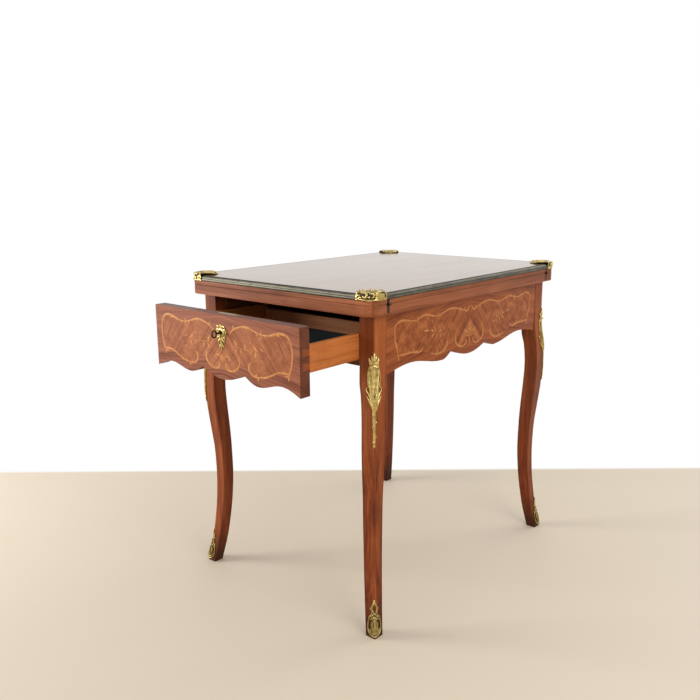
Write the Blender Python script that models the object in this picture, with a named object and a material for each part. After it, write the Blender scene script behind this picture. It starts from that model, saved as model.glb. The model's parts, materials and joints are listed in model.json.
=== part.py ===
"""Games table in the French rococo manner, with a turning fold-over top and an end drawer.

Metres, +Z up. The drawer faces -Y and stands partly open, and the top unfolds over +X. Shapes are
worked out in table coordinates, whose zero is on the floor below the middle of the top. The model's
origin lies on the floor below the middle of the whole outline, with the drawer open.
"""
import math

import bmesh
import bpy
from mathutils import Matrix, Vector

# Clearances
SEAM = 0.0003
RUNNING_GAP = 0.0005
BORE_GAP = 0.0003

# Table top: two leaves of one size, folded on each other
TABLE_HEIGHT = 0.760
TOP_WIDTH = 0.576
TOP_LENGTH = 0.780
TOP_CORNER_RADIUS = 0.025
SIDE_OVERHANG = 0.0187
END_OVERHANG = 0.028
LEAF_THICKNESS = 0.0226
LEAF_EASE = 0.0008
LEAF_GAP = 0.0004
TURNING_GAP = 0.0003
BAIZE_BORDER = 0.045
BAIZE_THICKNESS = 0.0012
BAIZE_SINK = 0.0001

# Metal moulding in a rebate round the upper leaf
MOULDING_HEIGHT = 0.013
MOULDING_WIDTH = 0.009
MOULDING_LIP = 0.0033
MOULDING_BEAD = 0.0055
MOULDING_PROUD = 0.0003
CORNER_STEPS = 8

# Shell mounts on the corners of the top: how far the middle of a plate's inner edge lies from the leaf's
# two edges, that edge's half width, how far the ribs reach round the corner each way, and the heights
SHELL_INSET = 0.0497
SHELL_HALF_WIDTH = 0.025
SHELL_ARM = 0.0406
SHELL_STEPS = 20
SHELL_RIBS = 5
SHELL_RISE = 0.0088
SHELL_TOE_RISE = 0.0030
SHELL_SKIRT = 0.0105
SHELL_PROUD = 0.0028
SHELL_WALL = 0.0020

# Frame: posts of the legs and the aprons between them
POST_SIDE = 0.0405
POST_HEIGHT = 0.114
POST_EASE = 0.040
LEG_CHAMFER = 0.0015
LEG_STEPS = 26
APRON_THICKNESS = 0.020
APRON_SETBACK = 0.001
TENON_THICKNESS = 0.008
TENON_LENGTH = 0.018
TENON_HEIGHT = 0.070
TENON_DROP = 0.018

# Cabriole curve of a leg, from floor to post: share of the way up, how far the outer edge stands out
# along the diagonal from below the post's corner, and the side of the square section
LEG_CURVE = (
    (0.000, 0.0232, 0.0274),
    (0.127, 0.0061, 0.0286),
    (0.305, -0.0066, 0.0302),
    (0.400, -0.0086, 0.0313),
    (0.505, -0.0068, 0.0321),
    (0.610, 0.0004, 0.0351),
    (0.723, 0.0083, 0.0371),
    (0.800, 0.0103, 0.0370),
    (0.883, 0.0082, 0.0378),
    (0.965, 0.0036, 0.0425),
    (1.000, 0.0010, POST_SIDE),
)

# Scalloped lower edges: depths below the board's top and places from its middle or its end
APRON_SCALLOP = {
    "centre": 0.1395, "cusp_at": 0.0775, "cusp": 0.1205, "lobe_at": 0.1135, "lobe": 0.1365,
    "crest_from_end": 0.087, "crest": 0.1200, "end": 0.1321,
}
DRAWER_SCALLOP = {
    "centre": 0.1384, "cusp_at": 0.068, "cusp": 0.1204, "lobe_at": 0.111, "lobe": 0.1369,
    "crest_from_end": 0.0526, "crest": 0.1244, "end": 0.1396,
}
BACK_SCALLOP = {
    "centre": 0.1384, "cusp_at": 0.068, "cusp": 0.1204, "lobe_at": 0.111, "lobe": 0.1369,
    "crest_from_end": 0.0260, "crest": 0.1175, "end": 0.1560,
}
SCALLOP_STEPS = 6

# Drawer, with the distance that it stands open
DRAWER_OPEN = 0.174
DRAWER_TOP_GAP = 0.0037
DRAWER_FRONT_THICKNESS = 0.027
DRAWER_LENGTH = 0.336
DRAWER_SIDE_DROP = 0.0376
DRAWER_SIDE_HEIGHT = 0.0553
DRAWER_SIDE_THICKNESS = 0.011
DRAWER_BACK_DROP = 0.0128
DRAWER_BACK_THICKNESS = 0.010
DRAWER_BOTTOM_LIFT = 0.0035
DRAWER_BOTTOM_THICKNESS = 0.005
FELT_THICKNESS = 0.0017
GROOVE_DEPTH = 0.004
DOVETAIL_COUNT = 2
DOVETAIL_LAP = 0.0075
DOVETAIL_NECK = 0.0065
DOVETAIL_FLARE = 0.0025

# Rails inside the frame
FRONT_RAIL_DEPTH = 0.030
FRONT_RAIL_THICKNESS = 0.0162
RAIL_TENON_LENGTH = 0.012
RAIL_TENON_THICKNESS = 0.006
RUNNER_BEHIND_DRAWER = 0.046
RUNNER_LEDGE = 0.0215
KICKER_THICKNESS = 0.0097
KICKER_GAP = 0.0007
CROSSBAR_WIDTH = 0.080
CROSSBAR_THICKNESS = 0.0226
CROSSBAR_DROP = 0.0015
CROSSBAR_HOUSING = 0.008
FLOOR_THICKNESS = 0.005

# Pivot that the top turns on, and the peg that stops it after a quarter turn
PIVOT_RADIUS = 0.008
PIVOT_STEPS = 32
PIVOT_FLANGE_RADIUS = 0.032
PIVOT_FLANGE_THICKNESS = 0.004
PIVOT_TAIL = 0.004
WASHER_RADIUS = 0.016
WASHER_THICKNESS = 0.002
NUT_RADIUS = 0.0145
NUT_HEIGHT = 0.0077
PEG_RADIUS = 0.006
PEG_DROP = 0.014
PEG_DEPTH = 0.012

# Hinges of the fold
HINGE_FROM_END = 0.050
HINGE_OFFSET = 0.003
KNUCKLE_RADIUS = 0.0026
KNUCKLE_LENGTH = 0.0026
HINGE_PIN_RADIUS = 0.001
HINGE_PLATE_HEIGHT = 0.0180
HINGE_PLATE_THICKNESS = 0.002

# Lock, key and escutcheon
KEY_DROP = 0.0379
KEYHOLE_RADIUS = 0.0027
KEYHOLE_SLOT = 0.003
LOCK_WIDTH = 0.060
LOCK_HEIGHT = 0.0580
LOCK_DEPTH = 0.0125
LOCK_WALL = 0.0015
BOLT_WIDTH = 0.026
BOLT_THICKNESS = 0.004
BOLT_SETBACK = 0.0022
BOLT_THROW = 0.008
BOLT_RAIL = 0.0025
STRIKE_GAP = 0.0015
STRIKE_DEPTH = 0.008
KEY_SHANK_RADIUS = 0.002
KEY_BIT_REACH = 0.007
KEY_BIT_THICKNESS = 0.002
KEY_BOW_HEIGHT = 0.018
KEY_BOW_WIDTH = 0.014
KEY_BOW_WIRE = 0.0016
KEY_SHANK_OUT = 0.0125
ESCUTCHEON_HEIGHT = 0.060
ESCUTCHEON_RISE = 0.020
ESCUTCHEON_THICKNESS = 0.0028
ESCUTCHEON_STEPS = 28
# Half widths of the escutcheon by share of its height, from the bottom drop to the top finial
ESCUTCHEON_OUTLINE = (
    (0.00, 0.0020), (0.10, 0.0060), (0.24, 0.0085), (0.34, 0.0075), (0.50, 0.0135),
    (0.66, 0.0150), (0.79, 0.0110), (0.86, 0.0050), (0.93, 0.0045), (1.00, 0.0012),
)

# Gilt drops on the knees and toe caps on the feet: half widths on each face by share of the length,
# from the lower end up
KNEE_MOUNT_DROP = 0.075
KNEE_MOUNT_LENGTH = 0.205
KNEE_MOUNT_RIDGE = 0.0040
KNEE_MOUNT_EDGE = 0.0014
KNEE_MOUNT_STEPS = 26
KNEE_MOUNT_OUTLINE = (
    (0.00, 0.0024), (0.13, 0.0050), (0.28, 0.0062), (0.36, 0.0058), (0.44, 0.0088), (0.52, 0.0190),
    (0.59, 0.0215), (0.69, 0.0180), (0.81, 0.0164), (0.91, 0.0134), (0.96, 0.0080), (1.00, 0.0026),
)
TOE_CAP_LIFT = 0.0006
TOE_CAP_LENGTH = 0.086
TOE_CAP_RIDGE = 0.0042
TOE_CAP_EDGE = 0.0018
TOE_CAP_STEPS = 14
TOE_CAP_OUTLINE = (
    (0.00, 0.0205), (0.16, 0.0205), (0.30, 0.0180), (0.48, 0.0150), (0.62, 0.0105),
    (0.80, 0.0062), (1.00, 0.0016),
)
MOUNT_GAP = 0.0005

# Heights and places that follow from the sizes above
UPPER_LEAF_Z = TABLE_HEIGHT - LEAF_THICKNESS
LOWER_LEAF_TOP = UPPER_LEAF_Z - LEAF_GAP
LOWER_LEAF_Z = LOWER_LEAF_TOP - LEAF_THICKNESS
FRAME_TOP = LOWER_LEAF_Z - TURNING_GAP
POST_BOTTOM = FRAME_TOP - POST_HEIGHT
FRAME_WIDTH = TOP_WIDTH - 2 * SIDE_OVERHANG
FRAME_LENGTH = TOP_LENGTH - 2 * END_OVERHANG
FRAME_X = FRAME_WIDTH / 2
FRAME_Y = FRAME_LENGTH / 2
POST_IN_X = FRAME_X - POST_SIDE
POST_IN_Y = FRAME_Y - POST_SIDE
APRON_IN_X = FRAME_X - APRON_SETBACK - APRON_THICKNESS
TOP_X = TOP_WIDTH / 2
TOP_Y = TOP_LENGTH / 2
PIVOT_X = TOP_WIDTH / 4
PIVOT_Y = -TOP_WIDTH / 4
FOLD_X = TOP_X + HINGE_OFFSET
FOLD_Z = LOWER_LEAF_TOP + LEAF_GAP / 2
HINGE_Y = TOP_Y - HINGE_FROM_END
REBATE_Z = TABLE_HEIGHT - MOULDING_HEIGHT
UPPER_PLATE_HEIGHT = REBATE_Z - FOLD_Z - SEAM
DRAWER_X = POST_IN_X - RUNNING_GAP
DRAWER_Y = -FRAME_Y - DRAWER_OPEN
DRAWER_TOP = FRAME_TOP - DRAWER_TOP_GAP
DRAWER_SHOULDER = DRAWER_Y + DRAWER_FRONT_THICKNESS
DRAWER_END = DRAWER_Y + DRAWER_LENGTH
SIDE_TOP = DRAWER_TOP - DRAWER_SIDE_DROP
SIDE_BOTTOM = SIDE_TOP - DRAWER_SIDE_HEIGHT
SIDE_IN_X = DRAWER_X - DRAWER_SIDE_THICKNESS
BOTTOM_Z = SIDE_BOTTOM + DRAWER_BOTTOM_LIFT
BOTTOM_TOP = BOTTOM_Z + DRAWER_BOTTOM_THICKNESS
BACK_TOP = SIDE_TOP - DRAWER_BACK_DROP
BACK_Y = DRAWER_END - DRAWER_BACK_THICKNESS
RAIL_TOP = SIDE_BOTTOM - SEAM
RAIL_Z = RAIL_TOP - FRONT_RAIL_THICKNESS
RAIL_Y = -FRAME_Y + DRAWER_FRONT_THICKNESS + RUNNING_GAP
RUNNER_END = -FRAME_Y + DRAWER_LENGTH + RUNNER_BEHIND_DRAWER
KICKER_Z = SIDE_TOP + KICKER_GAP
CROSSBAR_TOP = FRAME_TOP - CROSSBAR_DROP
CROSSBAR_Z = CROSSBAR_TOP - CROSSBAR_THICKNESS
WASHER_Z = CROSSBAR_Z - SEAM - WASHER_THICKNESS
NUT_Z = WASHER_Z - SEAM - NUT_HEIGHT
PEG_OFFSET = CROSSBAR_WIDTH / 2 + PEG_RADIUS + RUNNING_GAP
KEY_Z = DRAWER_TOP - KEY_DROP
KEY_BOW_Y = DRAWER_Y - KEY_SHANK_OUT - KEY_BOW_WIDTH / 2
LOCK_Y = DRAWER_SHOULDER - LOCK_DEPTH
BOLT_Y = LOCK_Y + BOLT_SETBACK
BOLT_CLOSED_Y = BOLT_Y + DRAWER_OPEN

# The outline's middle, which the origin lies below
REACH_RIGHT = FOLD_X + KNUCKLE_RADIUS
REACH_LEFT = TOP_X + SHELL_PROUD
REACH_BACK = TOP_Y + SHELL_PROUD
REACH_FRONT = -(KEY_BOW_Y - KEY_BOW_WIDTH / 2)
ORIGIN = Vector(((REACH_RIGHT - REACH_LEFT) / 2, (REACH_BACK - REACH_FRONT) / 2, 0))

CORNERS = {
    "front_left": (-1, -1),
    "front_right": (1, -1),
    "back_left": (-1, 1),
    "back_right": (1, 1),
}
SIDES = {"left": -1, "right": 1}


class Anchor:
    """An empty that carries pieces. Its place is in table coordinates."""

    def __init__(self, name, place, parent=None):
        self.place = Vector(place)
        self.empty = bpy.data.objects.new(name, None)
        bpy.context.scene.collection.objects.link(self.empty)
        if parent is None:
            self.empty.location = self.place - ORIGIN
        else:
            self.empty.parent = parent.empty
            self.empty.location = self.place - parent.place


def add_material(name, colour, roughness, metallic=0.0):
    """Make a Principled BSDF material."""
    material = bpy.data.materials.new(name)
    material.use_nodes = True
    shader = material.node_tree.nodes["Principled BSDF"]
    shader.inputs["Base Color"].default_value = (*colour, 1.0)
    shader.inputs["Roughness"].default_value = roughness
    shader.inputs["Metallic"].default_value = metallic
    return material


def add_object(name, solid, anchor):
    """Turn a bmesh in table coordinates into an object that its anchor carries."""
    bmesh.ops.recalc_face_normals(solid, faces=solid.faces)
    bmesh.ops.translate(solid, vec=-anchor.place, verts=solid.verts)
    mesh = bpy.data.meshes.new(name)
    solid.to_mesh(mesh)
    solid.free()
    piece = bpy.data.objects.new(name, mesh)
    piece.parent = anchor.empty
    bpy.context.scene.collection.objects.link(piece)
    return piece


def add_piece(name, solid, material, anchor, cuts=(), joins=(), smooth=None):
    """Add a sub-part, with solids joined to it and then solids cut from it."""
    piece = add_object(name, solid, anchor)
    piece.data.materials.append(material)
    if smooth:
        piece.data.shade_smooth()
        piece.data.set_sharp_from_angle(angle=math.radians(smooth))
    for index, tool in enumerate(joins):
        add_boolean(piece, f"{name}_join_{index}", tool, anchor, "UNION")
    for index, tool in enumerate(cuts):
        add_boolean(piece, f"{name}_cut_{index}", tool, anchor, "DIFFERENCE")


def add_boolean(piece, name, tool, anchor, operation):
    """Join or cut a piece with a hidden tool object."""
    cutter = add_object(name, tool, anchor)
    cutter.hide_render = True
    cutter.display_type = "WIRE"
    modifier = piece.modifiers.new(name, "BOOLEAN")
    modifier.operation = operation
    modifier.object = cutter


def box(low, high):
    """A block between two corners, given in any order."""
    low, high = Vector(low), Vector(high)
    size = [abs(b - a) for a, b in zip(low, high)]
    place = Matrix.Translation((low + high) / 2) @ Matrix.Diagonal((*size, 1))
    solid = bmesh.new()
    bmesh.ops.create_cube(solid, size=1, matrix=place)
    return solid


def loft(loops, closed=False):
    """A skin over loops of equal point counts, capped at both ends or closed into a ring."""
    solid = bmesh.new()
    rings = [[solid.verts.new(point) for point in loop] for loop in loops]
    pairs = list(zip(rings, rings[1:]))
    if closed:
        pairs.append((rings[-1], rings[0]))
    else:
        solid.faces.new(rings[0])
        solid.faces.new(rings[-1])
    for near, far in pairs:
        for index in range(len(near)):
            after = (index + 1) % len(near)
            solid.faces.new((near[index], near[after], far[after], far[index]))
    return solid


def prism(outline, axis, low, high):
    """An outline pushed along x, y or z. Its points are in the other two axes, in that order."""
    place = {
        "x": lambda point, along: (along, point[0], point[1]),
        "y": lambda point, along: (point[0], along, point[1]),
        "z": lambda point, along: (point[0], point[1], along),
    }[axis]
    return loft([[place(point, along) for point in outline] for along in (low, high)])


def circle(centre, radius, steps, start=0.0):
    """Points round a circle."""
    turns = [start + 2 * math.pi * index / steps for index in range(steps)]
    return [(centre[0] + radius * math.cos(turn), centre[1] + radius * math.sin(turn)) for turn in turns]


def rounded_outline(half_x, half_y, radius):
    """A rectangle with quarter-round corners, counter-clockwise from the right end of its front."""
    points = []
    for quarter, (sx, sy) in enumerate(((1, -1), (1, 1), (-1, 1), (-1, -1))):
        centre = (sx * (half_x - radius), sy * (half_y - radius))
        for step in range(CORNER_STEPS + 1):
            turn = math.pi / 2 * (quarter - 1 + step / CORNER_STEPS)
            points.append((centre[0] + radius * math.cos(turn), centre[1] + radius * math.sin(turn)))
    return points


def smooth_curve(knots, at):
    """A value on a smooth curve through (place, value) knots that never overshoots them."""
    places = [knot[0] for knot in knots]
    values = [knot[1] for knot in knots]
    slopes = [(values[i + 1] - values[i]) / (places[i + 1] - places[i]) for i in range(len(knots) - 1)]
    tangents = [slopes[0]]
    for before, after in zip(slopes, slopes[1:]):
        tangents.append(2 * before * after / (before + after) if before * after > 0 else 0.0)
    tangents.append(slopes[-1])
    index = max(i for i in range(len(slopes)) if i == 0 or places[i] <= at)
    span = places[index + 1] - places[index]
    t = (at - places[index]) / span
    rise = values[index + 1] - values[index]
    bend = (tangents[index + 1] + tangents[index]) * span - 2 * rise
    return values[index] + t * (tangents[index] * span + t * (
        3 * rise - (2 * tangents[index] + tangents[index + 1]) * span + t * bend))


def scallop_outline(half, top, scallop):
    """Outline of a board with a scalloped lower edge, in (along, height)."""
    crest_at = half - scallop["crest_from_end"]

    def ease_in(share):
        return 1 - math.cos(share * math.pi / 2)

    def ease_out(share):
        return math.sin(share * math.pi / 2)

    def ease_both(share):
        return (1 - math.cos(share * math.pi)) / 2

    stretches = (
        (0.0, scallop["cusp_at"], scallop["centre"], scallop["cusp"], ease_in),
        (scallop["cusp_at"], scallop["lobe_at"], scallop["cusp"], scallop["lobe"], ease_out),
        (scallop["lobe_at"], crest_at, scallop["lobe"], scallop["crest"], ease_both),
        (crest_at, half, scallop["crest"], scallop["end"], ease_in),
    )
    right = [(0.0, top - scallop["centre"])]
    for start, end, depth_start, depth_end, ease in stretches:
        for step in range(1, SCALLOP_STEPS + 1):
            share = step / SCALLOP_STEPS
            depth = depth_start + (depth_end - depth_start) * ease(share)
            right.append((start + (end - start) * share, top - depth))
    left = [(-along, height) for along, height in reversed(right[1:])]
    return left + right + [(half, top), (-half, top)]


def leg_section(height):
    """How far a leg's outer edge stands from the post's corner in x and y, and its side."""
    knots = [(share * POST_BOTTOM, out, side) for share, out, side in LEG_CURVE]
    knots += [(POST_BOTTOM + POST_EASE, 0.0, POST_SIDE), (FRAME_TOP, 0.0, POST_SIDE)]
    out = smooth_curve([(knot[0], knot[1]) for knot in knots], height)
    side = smooth_curve([(knot[0], knot[2]) for knot in knots], height)
    return out / math.sqrt(2), side


def leg_points(corner, height, offsets):
    """Points at one height of a leg, from offsets to its outer edge: outward is positive."""
    sx, sy = CORNERS[corner]
    out, _ = leg_section(height)
    return [(sx * (FRAME_X + out + a), sy * (FRAME_Y + out + b), height) for a, b in offsets]


def side_tenon(sx, sy, grow):
    """Tenon of a side apron into a leg, grown by a clearance for its mortise."""
    middle = sx * (APRON_IN_X + APRON_THICKNESS / 2)
    half = TENON_THICKNESS / 2 + grow
    top = FRAME_TOP - TENON_DROP
    root = POST_IN_Y - TENON_LENGTH / 3
    return box((middle - half, sy * root, top - TENON_HEIGHT - grow),
               (middle + half, sy * (POST_IN_Y + TENON_LENGTH + grow), top + grow))


def back_tenon(sx, grow):
    """Tenon of the back apron into a rear leg, grown by a clearance for its mortise."""
    middle = FRAME_Y - APRON_SETBACK - APRON_THICKNESS / 2
    half = TENON_THICKNESS / 2 + grow
    top = FRAME_TOP - TENON_DROP
    root = POST_IN_X - TENON_LENGTH / 3
    return box((sx * root, middle - half, top - TENON_HEIGHT - grow),
               (sx * (POST_IN_X + TENON_LENGTH + grow), middle + half, top + grow))


def rail_tenon(sx, grow):
    """Tenon of the front rail into a front leg, grown by a clearance for its mortise."""
    middle = (RAIL_Y - POST_IN_Y) / 2
    half = RAIL_TENON_THICKNESS / 2 + grow
    inset = FRONT_RAIL_THICKNESS / 5 - grow
    root = POST_IN_X - RAIL_TENON_LENGTH / 2
    return box((sx * root, middle - half, RAIL_Z + inset),
               (sx * (POST_IN_X + RAIL_TENON_LENGTH + grow), middle + half, RAIL_TOP - inset))


def crossbar_block(grow):
    """The bar that carries the pivot, grown by a clearance for its housings."""
    end = APRON_IN_X + CROSSBAR_HOUSING + grow
    half = CROSSBAR_WIDTH / 2 + grow
    top = CROSSBAR_TOP if grow == 0 else FRAME_TOP + CROSSBAR_DROP
    return box((-end, PIVOT_Y - half, CROSSBAR_Z - grow), (end, PIVOT_Y + half, top))


def make_leg(corner, wood, anchor):
    """Cabriole leg with its post, mortised for the boards that join it."""
    sx, sy = CORNERS[corner]
    curve_top = POST_BOTTOM + POST_EASE
    heights = [curve_top * step / LEG_STEPS for step in range(LEG_STEPS + 1)] + [FRAME_TOP]
    loops = []
    for height in heights:
        _, side = leg_section(height)
        near, far = LEG_CHAMFER, side - LEG_CHAMFER
        offsets = ((0, -far), (0, -near), (-near, 0), (-far, 0),
                   (-side, -near), (-side, -far), (-far, -side), (-near, -side))
        loops.append(leg_points(corner, height, offsets))
    cuts = [side_tenon(sx, sy, SEAM)]
    cuts.append(rail_tenon(sx, SEAM) if sy < 0 else back_tenon(sx, SEAM))
    add_piece(f"leg_{corner}", loft(loops), wood, anchor, cuts=cuts)


def make_leg_mount(name, corner, start, length, outline, thickness, steps, metal, anchor):
    """Gilt mount bent over the outer edge of a leg. Thickness is (at the ridge, at the rim)."""
    ridge, rim = thickness
    loops = []
    for step in range(steps + 1):
        share = step / steps
        half = smooth_curve(outline, share)
        swell = ridge * (0.55 + 0.45 * math.sin(math.pi * share))
        belly = (swell + rim) / 2
        inner, middle = MOUNT_GAP, -half / 2
        offsets = ((inner, -half), (inner, inner), (-half, inner), (-half, inner + rim),
                   (middle, inner + belly), (inner + swell, inner + swell),
                   (inner + belly, middle), (inner + rim, -half))
        loops.append(leg_points(corner, start + length * share, offsets))
    add_piece(name, loft(loops), metal, anchor, smooth=50)


def make_side_apron(side, wood, anchor):
    """Long apron with a scalloped edge, tenoned into the legs and housing the crossbar."""
    sx = SIDES[side]
    outline = scallop_outline(POST_IN_Y - SEAM, FRAME_TOP, APRON_SCALLOP)
    inner, outer = sx * APRON_IN_X, sx * (APRON_IN_X + APRON_THICKNESS)
    add_piece(f"apron_{side}", prism(outline, "x", inner, outer), wood, anchor,
              joins=[side_tenon(sx, sy, 0) for sy in (-1, 1)], cuts=[crossbar_block(SEAM)])


def make_back_apron(wood, anchor):
    """Short apron between the rear legs."""
    outline = scallop_outline(POST_IN_X - SEAM, FRAME_TOP, BACK_SCALLOP)
    outer = FRAME_Y - APRON_SETBACK
    add_piece("apron_back", prism(outline, "y", outer - APRON_THICKNESS, outer), wood, anchor,
              joins=[back_tenon(sx, 0) for sx in (-1, 1)])


def make_front_rail(wood, anchor):
    """Rail below the drawer, behind its front, tenoned into the front legs."""
    end = POST_IN_X - SEAM
    rail = box((-end, RAIL_Y, RAIL_Z), (end, RAIL_Y + FRONT_RAIL_DEPTH, RAIL_TOP))
    add_piece("front_rail", rail, wood, anchor, joins=[rail_tenon(sx, 0) for sx in (-1, 1)])


def make_drawer_guides(side, wood, anchor):
    """Runner below a drawer side, guide beside it and kicker above it, which also stops the drawer."""
    sx = SIDES[side]
    wall = APRON_IN_X - SEAM
    top = FRAME_TOP - SEAM
    runner_start = RAIL_Y + FRONT_RAIL_DEPTH + SEAM
    runner = box((sx * (DRAWER_X - RUNNER_LEDGE), runner_start, RAIL_Z), (sx * wall, RUNNER_END, RAIL_TOP))
    add_piece(f"drawer_runner_{side}", runner, wood, anchor)
    guide = box((sx * (POST_IN_X + SEAM), -POST_IN_Y + SEAM, RAIL_TOP + SEAM), (sx * wall, RUNNER_END, top))
    add_piece(f"drawer_guide_{side}", guide, wood, anchor, cuts=[crossbar_block(SEAM)])
    out = POST_IN_X - SEAM
    kicker = box((sx * (out - KICKER_THICKNESS), RAIL_Y, KICKER_Z), (sx * out, RUNNER_END, top))
    add_piece(f"drawer_kicker_{side}", kicker, wood, anchor, cuts=[crossbar_block(SEAM)])


def make_well_floor(wood, anchor):
    """Board below the rail and the runners that closes the frame, notched round the four posts."""
    wide, narrow = APRON_IN_X - SEAM, POST_IN_X - SEAM
    front, back = RAIL_Y, FRAME_Y - APRON_SETBACK - APRON_THICKNESS - SEAM
    notch = POST_IN_Y - SEAM
    right = [(narrow, front), (narrow, -notch), (wide, -notch)]
    right += [(wide, notch), (narrow, notch), (narrow, back)]
    outline = right + [(-x, y) for x, y in reversed(right)]
    top = RAIL_Z - SEAM
    add_piece("well_floor", prism(outline, "z", top - FLOOR_THICKNESS, top), wood, anchor)


def make_crossbar(wood, anchor):
    """Bar across the frame, housed in the aprons and bored for the pivot."""
    ring = circle((PIVOT_X, PIVOT_Y), PIVOT_RADIUS + BORE_GAP, PIVOT_STEPS)
    bore = prism(ring, "z", CROSSBAR_Z - SEAM, CROSSBAR_TOP + SEAM)
    add_piece("crossbar", crossbar_block(0), wood, anchor, cuts=[bore])


def make_pivot(metal, steel, anchor):
    """Flanged pivot let into the lower leaf, with its washer and nut below the crossbar."""
    middle = (PIVOT_X, PIVOT_Y)
    flange_top = LOWER_LEAF_Z + PIVOT_FLANGE_THICKNESS
    profile = ((PIVOT_RADIUS, NUT_Z - PIVOT_TAIL), (PIVOT_RADIUS, LOWER_LEAF_Z),
               (PIVOT_FLANGE_RADIUS, LOWER_LEAF_Z), (PIVOT_FLANGE_RADIUS, flange_top))
    loops = []
    for radius, height in profile:
        loops.append([(x, y, height) for x, y in circle(middle, radius, PIVOT_STEPS)])
    add_piece("top_pivot", loft(loops), steel, anchor, smooth=40)
    rings = (("pivot_washer", WASHER_RADIUS, PIVOT_STEPS, WASHER_Z, WASHER_THICKNESS),
             ("pivot_nut", NUT_RADIUS, 6, NUT_Z, NUT_HEIGHT))
    for name, radius, sides, low, thick in rings:
        hole = circle(middle, PIVOT_RADIUS + BORE_GAP, PIVOT_STEPS)
        blank = prism(circle(middle, radius, sides), "z", low, low + thick)
        add_piece(name, blank, metal, anchor, cuts=[prism(hole, "z", low - SEAM, low + thick + SEAM)])


def make_stop_peg(wood, anchor):
    """Peg below the lower leaf that meets the crossbar at both ends of the quarter turn."""
    ring = circle((PIVOT_X + PEG_OFFSET, PIVOT_Y + PEG_OFFSET), PEG_RADIUS, 16)
    peg = prism(ring, "z", LOWER_LEAF_Z - PEG_DROP, LOWER_LEAF_Z + PEG_DEPTH)
    add_piece("stop_peg", peg, wood, anchor, smooth=40)


def strike_slots():
    """Slots in the leaf's underside that take the lock bolt, with the top straight and turned."""
    half = BOLT_WIDTH / 2 + STRIKE_GAP
    low, high = BOLT_CLOSED_Y - STRIKE_GAP, BOLT_CLOSED_Y + BOLT_THICKNESS + STRIKE_GAP
    floor, ceiling = LOWER_LEAF_Z - SEAM, LOWER_LEAF_Z + STRIKE_DEPTH
    turned = 2 * PIVOT_X
    return [box((-half, low, floor), (half, high, ceiling)),
            box((low + turned, -half, floor), (high + turned, half, ceiling))]


def baize_panel(low, high, grow):
    """The cloth's rectangle between two heights, grown by a clearance for its recess."""
    half_x, half_y = TOP_X - BAIZE_BORDER + grow, TOP_Y - BAIZE_BORDER + grow
    return box((-half_x, -half_y, low), (half_x, half_y, high))


def hinge_gain(sy, low, high):
    """Notch in a leaf's edge for a hinge plate."""
    half = 1.5 * KNUCKLE_LENGTH + SEAM
    floor = TOP_X - HINGE_PLATE_THICKNESS - SEAM
    return box((floor, sy * HINGE_Y - half, low), (FOLD_X, sy * HINGE_Y + half, high))


def leaf_blank(steps):
    """A leaf's round-cornered board, from (inset from the edge, height) steps upwards."""
    loops = []
    for shrink, height in steps:
        outline = rounded_outline(TOP_X - shrink, TOP_Y - shrink, TOP_CORNER_RADIUS - shrink)
        loops.append([(x, y, height) for x, y in outline])
    return loft(loops)


def make_lower_leaf(wood, cloth, anchor):
    """Lower leaf, which turns on the frame, and the cloth let into it."""
    recess = BAIZE_THICKNESS + BAIZE_SINK + SEAM
    flange_ring = circle((PIVOT_X, PIVOT_Y), PIVOT_FLANGE_RADIUS + BORE_GAP, PIVOT_STEPS)
    flange = prism(flange_ring, "z", LOWER_LEAF_Z - SEAM, LOWER_LEAF_Z + PIVOT_FLANGE_THICKNESS + SEAM)
    peg_ring = circle((PIVOT_X + PEG_OFFSET, PIVOT_Y + PEG_OFFSET), PEG_RADIUS + BORE_GAP, 16)
    peg_hole = prism(peg_ring, "z", LOWER_LEAF_Z - SEAM, LOWER_LEAF_Z + PEG_DEPTH + SEAM)
    plate_low = FOLD_Z - HINGE_PLATE_HEIGHT - SEAM
    gains = [hinge_gain(sy, plate_low, LOWER_LEAF_TOP + SEAM) for sy in (-1, 1)]
    cuts = [flange, peg_hole, baize_panel(LOWER_LEAF_TOP - recess, LOWER_LEAF_TOP + SEAM, SEAM)]
    steps = ((LEAF_EASE, LOWER_LEAF_Z), (0, LOWER_LEAF_Z + LEAF_EASE), (0, LOWER_LEAF_TOP - LEAF_EASE),
             (LEAF_EASE, LOWER_LEAF_TOP))
    add_piece("lower_leaf", leaf_blank(steps), wood, anchor, cuts=cuts + gains + strike_slots())
    cloth_top = LOWER_LEAF_TOP - BAIZE_SINK
    add_piece("lower_baize", baize_panel(cloth_top - BAIZE_THICKNESS, cloth_top, 0), cloth, anchor)


def make_upper_leaf(wood, cloth, anchor):
    """Upper leaf, rebated for its moulding, and the cloth let into its underside."""
    steps = ((LEAF_EASE, UPPER_LEAF_Z), (0, UPPER_LEAF_Z + LEAF_EASE), (0, REBATE_Z),
             (MOULDING_WIDTH, REBATE_Z), (MOULDING_WIDTH, TABLE_HEIGHT))
    recess = BAIZE_THICKNESS + BAIZE_SINK + SEAM
    gains = [hinge_gain(sy, UPPER_LEAF_Z - SEAM, REBATE_Z + SEAM) for sy in (-1, 1)]
    add_piece("upper_leaf", leaf_blank(steps), wood, anchor,
              cuts=gains + [baize_panel(UPPER_LEAF_Z - SEAM, UPPER_LEAF_Z + recess, SEAM)])
    cloth_low = UPPER_LEAF_Z + BAIZE_SINK
    add_piece("upper_baize", baize_panel(cloth_low, cloth_low + BAIZE_THICKNESS, 0), cloth, anchor)


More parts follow.
